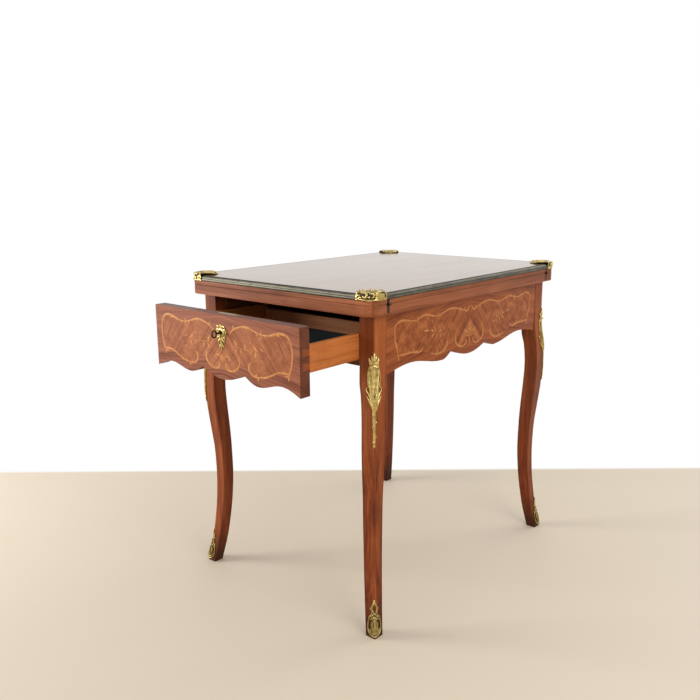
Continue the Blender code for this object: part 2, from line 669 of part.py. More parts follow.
def moulding_profile():
    """Section of the moulding in (outward from the leaf's edge, up from the leaf's face)."""
    inner, foot = -MOULDING_WIDTH + SEAM, -MOULDING_HEIGHT + SEAM
    lip = inner + MOULDING_LIP
    bead_top = foot + MOULDING_BEAD
    shoulder = (-MOULDING_PROUD * 2, bead_top + MOULDING_PROUD * 3)
    ovolo = []
    for step in range(4):
        turn = math.pi / 2 * (1 - step / 3)
        ovolo.append((lip + (shoulder[0] - lip) * math.cos(turn),
                      shoulder[1] * (1 - math.sin(turn)) - MOULDING_PROUD * 2))
    bead = []
    for step in range(4):
        turn = math.pi * (0.5 - step / 3)
        bead.append((MOULDING_PROUD - MOULDING_BEAD / 5 * (1 - math.cos(turn)),
                     (bead_top + foot) / 2 + (bead_top - foot) / 2 * math.sin(turn)))
    return [(inner, foot), (inner, 0.0), (lip, 0.0)] + ovolo + bead


def make_mouldings(metal, anchor):
    """Four lengths of metal moulding, bent round half of each corner, where they meet."""
    profile = moulding_profile()
    radius = TOP_CORNER_RADIUS
    for quarter, name in enumerate(("right", "back", "left", "front")):
        square = math.pi / 2 * quarter
        half_along, half_out = (TOP_Y, TOP_X) if quarter % 2 == 0 else (TOP_X, TOP_Y)
        stations = []
        for end in (-1, 1):
            for step in range(CORNER_STEPS // 2 + 1):
                bend = math.pi / 4 * (1 - step / (CORNER_STEPS // 2))
                if step == 0:
                    bend -= SEAM / 2 / radius
                stations.append((end, end * bend))
        stations = stations[:CORNER_STEPS // 2 + 1] + stations[:CORNER_STEPS // 2:-1]
        loops = []
        for end, bend in stations:
            loop = []
            for out, up in profile:
                along = end * (half_along - radius) + (radius + out) * math.sin(bend)
                away = half_out - radius + (radius + out) * math.cos(bend)
                spot = Matrix.Rotation(square, 2) @ Vector((away, along))
                loop.append((spot.x, spot.y, TABLE_HEIGHT + up))
            loops.append(loop)
        add_piece(f"moulding_{name}", loft(loops), metal, anchor, smooth=50)


def corner_edge(along):
    """Point of the leaf's edge at a distance round a corner from its middle, and the outward normal."""
    radius = TOP_CORNER_RADIUS
    bend = radius * math.pi / 4
    turn = math.pi / 4 + max(-bend, min(bend, along)) / radius
    normal = Vector((math.cos(turn), math.sin(turn)))
    straight = max(abs(along) - bend, 0.0)
    back = Vector((-straight, 0.0)) if along > 0 else Vector((0.0, -straight))
    return Vector((TOP_X - radius, TOP_Y - radius)) + normal * radius + back, normal


def make_shell_mount(corner, metal, anchor):
    """Gilt shell on a corner of the top: ribs that run from its inner edge and turn down over the corner."""
    sx, sy = CORNERS[corner]
    spread = SHELL_HALF_WIDTH / math.sqrt(2)
    under, inside = MOUNT_GAP, SHELL_PROUD - SHELL_WALL
    loops = []
    for step in range(SHELL_STEPS + 1):
        fan = 2 * step / SHELL_STEPS - 1
        edge, normal = corner_edge(SHELL_ARM * fan)
        toe = Vector((TOP_X - SHELL_INSET - spread * fan, TOP_Y - SHELL_INSET + spread * fan))
        rib = 0.78 + 0.22 * math.cos(math.pi * SHELL_RIBS * fan)
        rise = SHELL_RISE * rib
        skirt = SHELL_SKIRT * (0.78 + 0.22 * math.cos(math.pi * fan / 2)) * (0.92 + 0.08 * rib)
        profile = ((toe, under), (toe, SHELL_TOE_RISE), (toe.lerp(edge, 0.3), rise),
                   (toe.lerp(edge, 0.8), rise * 0.95), (edge + normal * SHELL_PROUD * 0.5, rise * 0.5),
                   (edge + normal * SHELL_PROUD, -skirt * 0.35), (edge + normal * SHELL_PROUD * 0.9, -skirt),
                   (edge + normal * inside, -skirt), (edge + normal * inside, under))
        loops.append([(sx * spot.x, sy * spot.y, TABLE_HEIGHT + up) for spot, up in profile])
    add_piece(f"shell_mount_{corner}", loft(loops), metal, anchor, smooth=50)


def hinge_profile(up, height):
    """Plate with its rolled knuckle, in (x, z), for the leaf above the fold (up = 1) or below it (-1)."""
    edge, back = -HINGE_OFFSET, -HINGE_OFFSET - HINGE_PLATE_THICKNESS
    seat = LEAF_GAP / 2
    roll = [(x, z) for x, z in circle((0, 0), KNUCKLE_RADIUS, 16, -math.pi / 2)][:13]
    points = [(back, -height), (edge, -height), (edge, -KNUCKLE_RADIUS)] + roll
    points += [(-KNUCKLE_RADIUS, -seat), (back, -seat)]
    return [(FOLD_X + x, FOLD_Z - up * z) for x, z in points]


def make_hinge(end, sy, brass, lower, upper):
    """Edge hinge of the fold: two plates with interleaved knuckles and their pin."""
    middle, half, third = sy * HINGE_Y, 1.5 * KNUCKLE_LENGTH, KNUCKLE_LENGTH / 2
    low, high = middle - half, middle + half
    gap = SEAM / 2
    room = KNUCKLE_RADIUS + SEAM
    clear_x = FOLD_X - HINGE_OFFSET + SEAM / 3

    def knuckle_space(start, stop):
        return box((clear_x, start, FOLD_Z - room), (FOLD_X + room, stop, FOLD_Z + room))

    def bore():
        ring = circle((FOLD_X, FOLD_Z), HINGE_PIN_RADIUS + BORE_GAP, 12)
        return prism(ring, "y", low - gap, high + gap)

    lower_plate = prism(hinge_profile(-1, HINGE_PLATE_HEIGHT), "y", low, high)
    add_piece(f"hinge_lower_{end}", lower_plate, brass, lower,
              cuts=[knuckle_space(middle - third - gap, middle + third + gap), bore()])
    upper_plate = prism(hinge_profile(1, UPPER_PLATE_HEIGHT), "y", low, high)
    ends = [knuckle_space(low - gap, middle - third + gap), knuckle_space(middle + third - gap, high + gap)]
    add_piece(f"hinge_upper_{end}", upper_plate, brass, upper, cuts=ends + [bore()])
    pin = prism(circle((FOLD_X, FOLD_Z), HINGE_PIN_RADIUS, 12), "y", low, high)
    add_piece(f"hinge_pin_{end}", pin, brass, lower, smooth=40)


def dovetails():
    """Middle height of each tail at the front of a drawer side."""
    pitch = DRAWER_SIDE_HEIGHT / DOVETAIL_COUNT
    return [SIDE_BOTTOM + pitch * (index + 0.5) for index in range(DOVETAIL_COUNT)]


def dovetail_socket(sx, middle):
    """Socket for one tail in the end of the drawer front."""
    back = DRAWER_SHOULDER + SEAM * 2
    tip = DRAWER_Y + DOVETAIL_LAP
    neck, wide = DOVETAIL_NECK + SEAM, DOVETAIL_NECK + DOVETAIL_FLARE + SEAM
    outline = [(back, middle - neck), (back, middle + neck), (tip, middle + wide), (tip, middle - wide)]
    return prism(outline, "x", sx * (SIDE_IN_X - SEAM), sx * (DRAWER_X + SEAM * 2))


def keyhole_outline():
    """Outline of the keyhole: the eye's arc, closed by the slot below it."""
    half = KEYHOLE_SLOT / 2
    mouth = math.asin(half / KEYHOLE_RADIUS)
    start, sweep, steps = -math.pi / 2 + mouth, 2 * math.pi - 2 * mouth, 18
    arc = [start + sweep * step / steps for step in range(steps + 1)]
    points = [(KEYHOLE_RADIUS * math.cos(turn), KEY_Z + KEYHOLE_RADIUS * math.sin(turn)) for turn in arc]
    slot_end = KEY_Z - KEY_BIT_REACH - RUNNING_GAP
    return points + [(-half, slot_end), (half, slot_end)]


def make_drawer_front(wood, anchor):
    """Drawer front with its scalloped edge, dovetail sockets, lock recess, groove and keyhole."""
    lock_half = LOCK_WIDTH / 2 + SEAM
    recess = box((-lock_half, LOCK_Y - SEAM, DRAWER_TOP - LOCK_HEIGHT - SEAM),
                 (lock_half, DRAWER_SHOULDER + SEAM, DRAWER_TOP + SEAM))
    groove_half = SIDE_IN_X + GROOVE_DEPTH
    groove = box((-groove_half, DRAWER_SHOULDER - GROOVE_DEPTH, BOTTOM_Z - SEAM),
                 (groove_half, DRAWER_SHOULDER + SEAM, BOTTOM_TOP + SEAM))
    cuts = [recess, groove, prism(keyhole_outline(), "y", DRAWER_Y - SEAM, LOCK_Y + SEAM)]
    cuts += [dovetail_socket(sx, middle) for sx in (-1, 1) for middle in dovetails()]
    outline = scallop_outline(DRAWER_X, DRAWER_TOP, DRAWER_SCALLOP)
    add_piece("drawer_front", prism(outline, "y", DRAWER_Y, DRAWER_SHOULDER), wood, anchor, cuts=cuts)


def make_drawer_side(side, wood, anchor):
    """Drawer side, dovetailed at its front and grooved for the bottom and the back."""
    sx = SIDES[side]
    shoulder, tip = DRAWER_SHOULDER + SEAM, DRAWER_Y + DOVETAIL_LAP + SEAM
    outline = [(DRAWER_END, SIDE_TOP), (DRAWER_END, SIDE_BOTTOM), (shoulder, SIDE_BOTTOM)]
    for middle in dovetails():
        neck, wide = DOVETAIL_NECK, DOVETAIL_NECK + DOVETAIL_FLARE
        outline += [(shoulder, middle - neck), (tip, middle - wide)]
        outline += [(tip, middle + wide), (shoulder, middle + neck)]
    outline.append((shoulder, SIDE_TOP))
    deep = sx * (SIDE_IN_X + GROOVE_DEPTH)
    shallow = sx * (SIDE_IN_X - SEAM)
    groove = box((shallow, DRAWER_SHOULDER - GROOVE_DEPTH, BOTTOM_Z - SEAM),
                 (deep, DRAWER_END + SEAM, BOTTOM_TOP + SEAM))
    housing = box((shallow, BACK_Y - SEAM, BOTTOM_TOP), (deep, DRAWER_END + SEAM, BACK_TOP + SEAM))
    add_piece(f"drawer_side_{side}", prism(outline, "x", sx * SIDE_IN_X, sx * DRAWER_X), wood, anchor,
              cuts=[groove, housing])


def make_drawer_box(wood, cloth, anchor):
    """Drawer back, bottom panel and the cloth that lines the bottom."""
    end = SIDE_IN_X + GROOVE_DEPTH - SEAM
    floor = BOTTOM_TOP + SEAM
    add_piece("drawer_back", box((-end, BACK_Y, floor), (end, DRAWER_END, BACK_TOP)), wood, anchor)
    panel = box((-end, DRAWER_SHOULDER - GROOVE_DEPTH + SEAM, BOTTOM_Z), (end, DRAWER_END, BOTTOM_TOP))
    add_piece("drawer_bottom", panel, wood, anchor)
    half = SIDE_IN_X - RUNNING_GAP
    lining = box((-half, DRAWER_SHOULDER + RUNNING_GAP, floor),
                 (half, BACK_Y - RUNNING_GAP, floor + FELT_THICKNESS))
    add_piece("drawer_lining", lining, cloth, anchor)


def make_lock(brass, steel, drawer, bolt):
    """Lock case let into the back of the drawer front, and the bolt that rises from it."""
    half, top, floor = LOCK_WIDTH / 2, DRAWER_TOP - SEAM, DRAWER_TOP - LOCK_HEIGHT
    cavity = box((-half + LOCK_WALL, LOCK_Y + LOCK_WALL, floor + LOCK_WALL),
                 (half - LOCK_WALL, DRAWER_SHOULDER - LOCK_WALL, top - LOCK_WALL))
    bolt_half, bolt_back = BOLT_WIDTH / 2, BOLT_Y + BOLT_THICKNESS
    mouth = box((-bolt_half - SEAM, BOLT_Y - SEAM, top - 2 * LOCK_WALL),
                (bolt_half + SEAM, bolt_back + SEAM, top + SEAM))
    eye = prism(keyhole_outline(), "y", LOCK_Y - SEAM, LOCK_Y + 2 * LOCK_WALL)
    case = box((-half, LOCK_Y, floor), (half, DRAWER_SHOULDER, top))
    add_piece("lock_case", case, brass, drawer, cuts=[cavity, mouth, eye])
    swing = KEY_BIT_REACH + RUNNING_GAP
    low = KEY_Z - swing - BOLT_THROW - BOLT_RAIL
    window = box((-swing - SEAM, BOLT_Y - SEAM, low + BOLT_RAIL),
                 (swing + SEAM, bolt_back + SEAM, KEY_Z + swing))
    blank = box((-bolt_half, BOLT_Y, low), (bolt_half, bolt_back, top))
    add_piece("lock_bolt", blank, steel, bolt, cuts=[window])


def make_escutcheon(metal, anchor):
    """Gilt keyhole plate with a waisted outline and a raised middle."""
    bottom = KEY_Z - (ESCUTCHEON_HEIGHT - ESCUTCHEON_RISE)
    back = DRAWER_Y - SEAM
    loops = []
    for narrow, out in ((1.0, 0.0), (1.0, 0.45), (0.80, 1.0)):
        right, left = [], []
        for step in range(ESCUTCHEON_STEPS + 1):
            share = step / ESCUTCHEON_STEPS
            half = smooth_curve(ESCUTCHEON_OUTLINE, share) * narrow
            height = bottom + ESCUTCHEON_HEIGHT * (0.5 + (share - 0.5) * (0.96 if narrow < 1 else 1.0))
            right.append((half, back - ESCUTCHEON_THICKNESS * out, height))
            left.append((-half, back - ESCUTCHEON_THICKNESS * out, height))
        loops.append(right + left[::-1])
    hole = prism(keyhole_outline(), "y", back - 2 * ESCUTCHEON_THICKNESS, back + SEAM)
    add_piece("escutcheon", loft(loops), metal, anchor, cuts=[hole], smooth=40)


def make_key(iron, anchor):
    """Key in the lock: an oval bow, a round shank and a bit inside the lock case."""
    wire = KEY_BOW_WIRE
    half_y, half_z = KEY_BOW_WIDTH / 2 - wire, KEY_BOW_HEIGHT / 2 - wire
    loops = []
    for step in range(24):
        turn = 2 * math.pi * step / 24
        across = Vector((0, math.cos(turn), math.sin(turn)))
        middle = Vector((0, KEY_BOW_Y + half_y * across.y, KEY_Z + half_z * across.z))
        ring = circle((0, 0), wire, 8)
        loops.append([middle + across * out + Vector((aside, 0, 0)) for out, aside in ring])
    shank_end = DRAWER_SHOULDER - LOCK_WALL - RUNNING_GAP
    shank = prism(circle((0, KEY_Z), KEY_SHANK_RADIUS, 16), "y", KEY_BOW_Y + half_y, shank_end)
    thick = KEY_BIT_THICKNESS / 2
    bit = box((-thick, BOLT_Y, KEY_Z - KEY_BIT_REACH), (thick, BOLT_Y + BOLT_THICKNESS, KEY_Z))
    add_piece("key", loft(loops, closed=True), iron, anchor, joins=[shank, bit], smooth=50)


def main():
    """Clear the scene and build the table."""
    for leftover in list(bpy.data.objects):
        bpy.data.objects.remove(leftover)

    veneer = add_material("veneered_wood", (0.19, 0.055, 0.026), 0.35)
    plain_wood = add_material("plain_wood", (0.24, 0.10, 0.045), 0.55)
    orange_wood = add_material("drawer_wood", (0.46, 0.17, 0.05), 0.5)
    gilt = add_material("gilt_bronze", (0.72, 0.50, 0.16), 0.32, 1.0)
    patina = add_material("patinated_brass", (0.21, 0.19, 0.13), 0.4, 1.0)
    brass = add_material("brass", (0.55, 0.40, 0.16), 0.4, 1.0)
    iron = add_material("black_iron", (0.02, 0.019, 0.018), 0.5, 1.0)
    steel = add_material("steel", (0.32, 0.31, 0.30), 0.4, 1.0)
    baize = add_material("green_baize", (0.03, 0.12, 0.06), 0.95)
    felt = add_material("blue_felt", (0.004, 0.028, 0.04), 0.95)

    table = Anchor("table", (0, 0, 0))
    drawer = Anchor("drawer_slide", (0, DRAWER_Y, DRAWER_TOP), table)
    key_turn = Anchor("key_turn", (0, DRAWER_Y, KEY_Z), drawer)
    bolt = Anchor("bolt_throw", (0, BOLT_Y, KEY_Z), drawer)
    turning = Anchor("top_turn", (PIVOT_X, PIVOT_Y, LOWER_LEAF_Z), table)
    folding = Anchor("leaf_fold", (FOLD_X, 0, FOLD_Z), turning)

    knee_start = FRAME_TOP - KNEE_MOUNT_DROP - KNEE_MOUNT_LENGTH
    for corner in CORNERS:
        make_leg(corner, veneer, table)
        make_leg_mount(f"knee_mount_{corner}", corner, knee_start, KNEE_MOUNT_LENGTH,
                       KNEE_MOUNT_OUTLINE, (KNEE_MOUNT_RIDGE, KNEE_MOUNT_EDGE), KNEE_MOUNT_STEPS, gilt, table)
        make_leg_mount(f"toe_cap_{corner}", corner, TOE_CAP_LIFT, TOE_CAP_LENGTH,
                       TOE_CAP_OUTLINE, (TOE_CAP_RIDGE, TOE_CAP_EDGE), TOE_CAP_STEPS, gilt, table)
    for side in SIDES:
        make_side_apron(side, veneer, table)
        make_drawer_guides(side, plain_wood, table)
    make_back_apron(veneer, table)
    make_front_rail(plain_wood, table)
    make_well_floor(plain_wood, table)
    make_crossbar(plain_wood, table)

    make_lower_leaf(veneer, baize, turning)
    make_pivot(brass, steel, turning)
    make_stop_peg(plain_wood, turning)
    make_upper_leaf(veneer, baize, folding)
    make_mouldings(patina, folding)
    for corner in CORNERS:
        make_shell_mount(corner, gilt, folding)
    for end, sy in (("front", -1), ("back", 1)):
        make_hinge(end, sy, brass, turning, folding)

    make_drawer_front(veneer, drawer)
    for side in SIDES:
        make_drawer_side(side, orange_wood, drawer)
    make_drawer_box(orange_wood, felt, drawer)
    make_lock(brass, steel, drawer, bolt)
    make_escutcheon(gilt, drawer)
    make_key(iron, key_turn)


main()
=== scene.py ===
"""Dressed games table: materials, gilt mounts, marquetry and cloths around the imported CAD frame.

Everything is in metres in the CAD frame. Reliefs and marquetry are drawn as strokes in millimetres
on a flat sheet, and then laid on the surface that carries them.
"""

import json
import logging
import math
from dataclasses import dataclass, field
from enum import Enum
from typing import Callable, Sequence

import bpy
import numpy as np
from mathutils import Matrix, Vector

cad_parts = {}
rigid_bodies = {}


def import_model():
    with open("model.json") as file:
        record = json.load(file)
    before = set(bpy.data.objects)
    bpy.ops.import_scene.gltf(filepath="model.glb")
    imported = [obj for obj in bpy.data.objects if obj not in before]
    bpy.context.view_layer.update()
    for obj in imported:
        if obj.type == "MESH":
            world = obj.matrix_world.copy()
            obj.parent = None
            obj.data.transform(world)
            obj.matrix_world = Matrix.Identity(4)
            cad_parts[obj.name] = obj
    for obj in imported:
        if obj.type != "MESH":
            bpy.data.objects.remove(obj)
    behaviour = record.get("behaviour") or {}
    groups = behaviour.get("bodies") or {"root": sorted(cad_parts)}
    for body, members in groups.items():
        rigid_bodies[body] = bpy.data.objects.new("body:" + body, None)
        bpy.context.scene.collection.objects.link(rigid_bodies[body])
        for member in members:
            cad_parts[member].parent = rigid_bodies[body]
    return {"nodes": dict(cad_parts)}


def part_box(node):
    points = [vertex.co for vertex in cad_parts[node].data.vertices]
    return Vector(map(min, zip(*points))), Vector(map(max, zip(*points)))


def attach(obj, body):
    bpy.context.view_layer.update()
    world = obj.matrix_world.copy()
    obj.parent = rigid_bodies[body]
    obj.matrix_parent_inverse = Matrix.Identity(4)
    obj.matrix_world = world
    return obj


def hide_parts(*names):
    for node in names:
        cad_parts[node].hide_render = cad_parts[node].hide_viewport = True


for leftover in list(bpy.data.objects):
    bpy.data.objects.remove(leftover)
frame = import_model()

LOG = logging.getLogger("games_table")
MM = 0.001

Colour = tuple[float, float, float]
Point = tuple[float, float]
Wrap = Callable[[np.ndarray], np.ndarray]


class Body(str, Enum):
    """Moving bodies of the table."""

    FRAME = "frame"
    LOWER_TOP = "lower_top"
    UPPER_TOP = "upper_top"
    DRAWER = "drawer"
    KEY = "key"


class Slot(str, Enum):
    """Material slots of the record."""

    VENEER = "veneered_wood"
    PLAIN_WOOD = "plain_wood"
    DRAWER_WOOD = "drawer_wood"
    GILT = "gilt_bronze"
    PATINA = "patinated_brass"
    IRON = "black_iron"
    STEEL = "steel"
    BAIZE = "green_baize"
    FELT = "blue_felt"


class Grain(Enum):
    """Axis that a board's grain follows, as the order of (along, across, deep)."""

    ALONG_X = (0, 1, 2)
    ALONG_Y = (1, 0, 2)
    ALONG_Z = (2, 0, 1)


CORNERS: dict[str, tuple[int, int]] = {
    "front_left": (-1, -1),
    "front_right": (1, -1),
    "back_left": (-1, 1),
    "back_right": (1, 1),
}


# Shader graph


@dataclass(frozen=True)
class Value:
    """An output socket that takes part in Python arithmetic."""

    graph: "Graph"
    socket: bpy.types.NodeSocket

    def other(self, output: str) -> "Value":
        """Another output of the same node."""
        return Value(self.graph, self.socket.node.outputs[output])

    def maths(self, operation: str, *others: "Value | float", reflected: bool = False) -> "Value":
        """Add a Math node.

        Args:
            operation: the node's operation.
            others: the further operands.
            reflected: whether this value is the second operand.

        Returns:
            The node's result.
        """
        operands = (*others, self) if reflected else (self, *others)
        return self.graph.node("ShaderNodeMath", {"operation": operation}, dict(enumerate(operands)))

    def __add__(self, other: "Value | float") -> "Value":
        """Sum."""
        return self.maths("ADD", other)

    def __radd__(self, other: float) -> "Value":
        """Sum with a number first."""
        return self.maths("ADD", other)

    def __sub__(self, other: "Value | float") -> "Value":
        """Difference."""
        return self.maths("SUBTRACT", other)

    def __rsub__(self, other: float) -> "Value":
        """Difference from a number."""
        return self.maths("SUBTRACT", other, reflected=True)

    def __mul__(self, other: "Value | float") -> "Value":
        """Product."""
        return self.maths("MULTIPLY", other)

    def __rmul__(self, other: float) -> "Value":
        """Product with a number first."""
        return self.maths("MULTIPLY", other)

    def __abs__(self) -> "Value":
        """Absolute value."""
        return self.maths("ABSOLUTE")


Input = Value | float | tuple


class Graph:
    """Node tree of one material or of the world."""

    MIX_FACTOR, MIX_A, MIX_B, MIX_RESULT = 0, 6, 7, 2

    def __init__(self, owner: bpy.types.Material | bpy.types.World) -> None:
        """Start an empty tree on a new material or world."""
        self.owner = owner
        owner.use_nodes = True
        self.tree = owner.node_tree
        self.tree.nodes.clear()

    @classmethod
    def material(cls, name: str) -> "Graph":
        """The empty graph of a new material."""
        return cls(bpy.data.materials.new(name))

    def node(self, kind: str, settings: dict | None = None, inputs: dict | None = None,
             output: int | str = 0) -> Value:
        """Make any node: its settings first, then its inputs.

        Args:
            kind: Blender's name of the node type.
            settings: attributes of the node; "stops" fills a colour ramp.
            inputs: a value, tuple or link by socket name or index.
            output: the output that is wanted.

        Returns:
            That output.
        """
        made = self.tree.nodes.new(kind)
        for key, value in (settings or {}).items():
            if key == "stops":
                self.fill_ramp(made.color_ramp, value)
            else:
                setattr(made, key, value)
        for key, value in (inputs or {}).items():
            socket = made.inputs[key]
            if isinstance(value, Value):
                self.tree.links.new(value.socket, socket)
            elif socket.type == "RGBA":
                socket.default_value = (*value[:3], 1.0)
            else:
                socket.default_value = value
        return Value(self, made.outputs[output])

    @staticmethod
    def fill_ramp(ramp: bpy.types.ColorRamp, stops: Sequence[tuple[float, Colour]]) -> None:
        """Put stops on a colour ramp.

        Args:
            ramp: the ramp, with its two first stops.
            stops: (place, colour) pairs, two or more.
        """
        while len(ramp.elements) < len(stops):
            ramp.elements.new(1.0)
        for element, (place, colour) in zip(ramp.elements, stops):
            element.position = place
            element.color = (*colour, 1.0)

    def axes(self, coordinate: str) -> tuple[Value, Value, Value]:
        """The x, y and z of a texture coordinate."""
        point = self.node("ShaderNodeTexCoord", output=coordinate)
        x = self.node("ShaderNodeSeparateXYZ", inputs={0: point}, output="X")
        return x, x.other("Y"), x.other("Z")

    def place(self) -> tuple[Value, Value, Value]:
        """The surface point's x, y and z in the object's frame."""
        return self.axes("Object")

    def facing(self) -> tuple[Value, Value, Value]:
        """The surface normal's x, y and z in the object's frame."""
        return self.axes("Normal")

    def stored(self, attribute: str) -> Value:
        """A number that the mesh stores by its points."""
        return self.node("ShaderNodeAttribute", {"attribute_name": attribute}, output="Fac")

    def vector(self, x: Input, y: Input, z: Input) -> Value:
        """Three numbers as a vector."""
        return self.node("ShaderNodeCombineXYZ", inputs={0: x, 1: y, 2: z})

    def noise(self, place: Sequence[Value], scale: Sequence[float], detail: float = 3.0,
              roughness: float = 0.55) -> Value:
        """Noise at a place.

        Args:
            place: three distances in metres.
            scale: cells of the noise to a metre of each.
            detail: octaves of finer noise.
            roughness: weight of the finer noise.

        Returns:
            The noise, from 0 to 1.
        """
        vector = self.vector(*(part * cells for part, cells in zip(place, scale)))
        inputs = {"Vector": vector, "Scale": 1.0, "Detail": detail, "Roughness": roughness}
        return self.node("ShaderNodeTexNoise", inputs=inputs)

    def ease(self, value: Value, low: float, high: float) -> Value:
        """A smooth step from 0 at low to 1 at high."""
        settings = {"interpolation_type": "SMOOTHSTEP"}
        return self.node("ShaderNodeMapRange", settings, {0: value, 1: low, 2: high})

    def mix(self, share: Input, first: Input, second: Input) -> Value:
        """Two colours mixed by a share of the second."""
        inputs = {self.MIX_FACTOR: share, self.MIX_A: first, self.MIX_B: second}
        return self.node("ShaderNodeMix", {"data_type": "RGBA"}, inputs, self.MIX_RESULT)

    def blend(self, share: Value, first: Input, second: Input) -> Value:
        """Two numbers mixed by a share of the second."""
        return self.node("ShaderNodeMix", {"data_type": "FLOAT"}, {0: share, 2: first, 3: second})

    def ramp(self, value: Value, stops: Sequence[tuple[float, Colour]]) -> Value:
        """A colour ramp."""
        return self.node("ShaderNodeValToRGB", {"stops": stops}, {0: value})

    def surface(self, colour: Input, roughness: Input, constants: dict | None = None,
                height: Value | None = None, bump: float = 0.1,
                metallic: Input = 0.0) -> bpy.types.Material:
        """Close the graph with a Principled shader.

        Args:
            colour: base colour.
            roughness: roughness.
            constants: values that are the same all over, by socket name.
            height: relief for the Bump node, in metres.
            bump: the Bump node's strength.
            metallic: metallic share.

        Returns:
            The finished material.
        """
        inputs = {"Base Color": colour, "Roughness": roughness, "Metallic": metallic, **(constants or {})}
        if height is not None:
            inputs["Normal"] = self.node("ShaderNodeBump", inputs={
                "Strength": bump, "Distance": 1.0, "Height": height})
        self.close(self.node("ShaderNodeBsdfPrincipled", inputs=inputs), "ShaderNodeOutputMaterial")
        return self.owner

    def close(self, shader: Value, kind: str) -> None:
        """Link a shader to an output node of a kind."""
        made = self.tree.nodes.new(kind)
        self.tree.links.new(shader.socket, made.inputs["Surface"])


# Finishes


@dataclass(frozen=True)
class Wood:
    """Wood with streaks, fibres and pores along its grain."""

    pale: Colour
    warm: Colour
    dark: Colour
    grain: Grain = Grain.ALONG_Z
    streaks: float = 30.0
    roughness: float = 0.36
    ripple: float = 0.0
    specular: float = 0.12
    mottle: float = 0.6

    # Cells of noise to a metre along the grain, across it and into the board
    WANDER = (5.0, 9.0, 9.0)
    FIBRE = (7.0, 310.0, 310.0)
    PORE = (55.0, 1700.0, 1700.0)
    SWAY = (60.0, 7.0, 7.0)
    CLOUD = (9.0, 22.0, 22.0)
    STREAK_RUN = 1.6
    # How far streaks wander in metres, and how strongly each mark shows
    WANDER_REACH = 0.012
    STREAK_SHARE, FIBRE_SHARE = 0.62, 0.38
    TONE_STOPS = (0.35, 0.50, 0.66)
    PORE_EDGE, PORE_DEPTH = (0.60, 0.72), 0.30
    CLOUD_EDGE = (0.50, 0.74)
    FIBRE_GLOSS, PORE_GLOSS = 0.12, 0.08
    FIBRE_RELIEF, PORE_RELIEF = 0.00006, 0.00005
    BUMP = 0.5

    def tone(self, graph: Graph, along: Value, across: Value, deep: Value) -> tuple[Value, Value, Value]:
        """Tones of the wood from distances along and across its grain.

        Args:
            graph: the material's graph.
            along: distance along the grain.
            across: distance across it on the face.
            deep: distance into the board.

        Returns:
            The colour, the fibres from 0 to 1 and the pores from 0 to 1.
        """
        wander = graph.noise((along, across, deep), self.WANDER, 2.0)
        drift = across + (wander - 0.5) * self.WANDER_REACH
        inside = (along, drift, deep)
        streak = graph.noise(inside, (self.STREAK_RUN, self.streaks, self.streaks), 3.0, 0.6)
        fibre = graph.noise(inside, self.FIBRE, 3.0, 0.6)
        pore = graph.ease(graph.noise(inside, self.PORE, 1.0), *self.PORE_EDGE)
        tone = streak * self.STREAK_SHARE + fibre * self.FIBRE_SHARE
        if self.ripple > 0:
            tone = tone + (graph.noise(inside, self.SWAY, 2.0) - 0.5) * self.ripple
        colour = self.tinted(graph, tone, self.TONE_STOPS)
        cloud = graph.noise((along, across, deep), self.CLOUD, 4.0, 0.6)
        aged = graph.mix(graph.ease(cloud, *self.CLOUD_EDGE) * self.mottle, colour, self.dark)
        return graph.mix(pore * self.PORE_DEPTH, aged, self.dark), fibre, pore

    def tinted(self, graph: Graph, tone: Value, stops: Sequence[float]) -> Value:
        """This wood's dark, warm and pale colours along a tone."""
        return graph.ramp(tone, tuple(zip(stops, (self.dark, self.warm, self.pale))))

    def build(self, name: str) -> bpy.types.Material:
        """Make the material of a plain board.

        Args:
            name: the material's name.

        Returns:
            The material.
        """
        graph = Graph.material(name)
        place = graph.place()
        along, across, deep = (place[axis] for axis in self.grain.value)
        return self.close(graph, *self.tone(graph, along, across, deep))

    def close(self, graph: Graph, colour: Value, fibre: Value, pore: Value) -> bpy.types.Material:
        """Close the graph with this wood's polish.

        Args:
            graph: the material's graph.
            colour: base colour.
            fibre: fibres from 0 to 1.
            pore: pores from 0 to 1.

        Returns:
            The material.
        """
        polish = self.roughness + (fibre - 0.5) * self.FIBRE_GLOSS + pore * self.PORE_GLOSS
        relief = fibre * self.FIBRE_RELIEF - pore * self.PORE_RELIEF
        return graph.surface(colour, polish, {"Specular IOR Level": self.specular}, relief, self.BUMP)


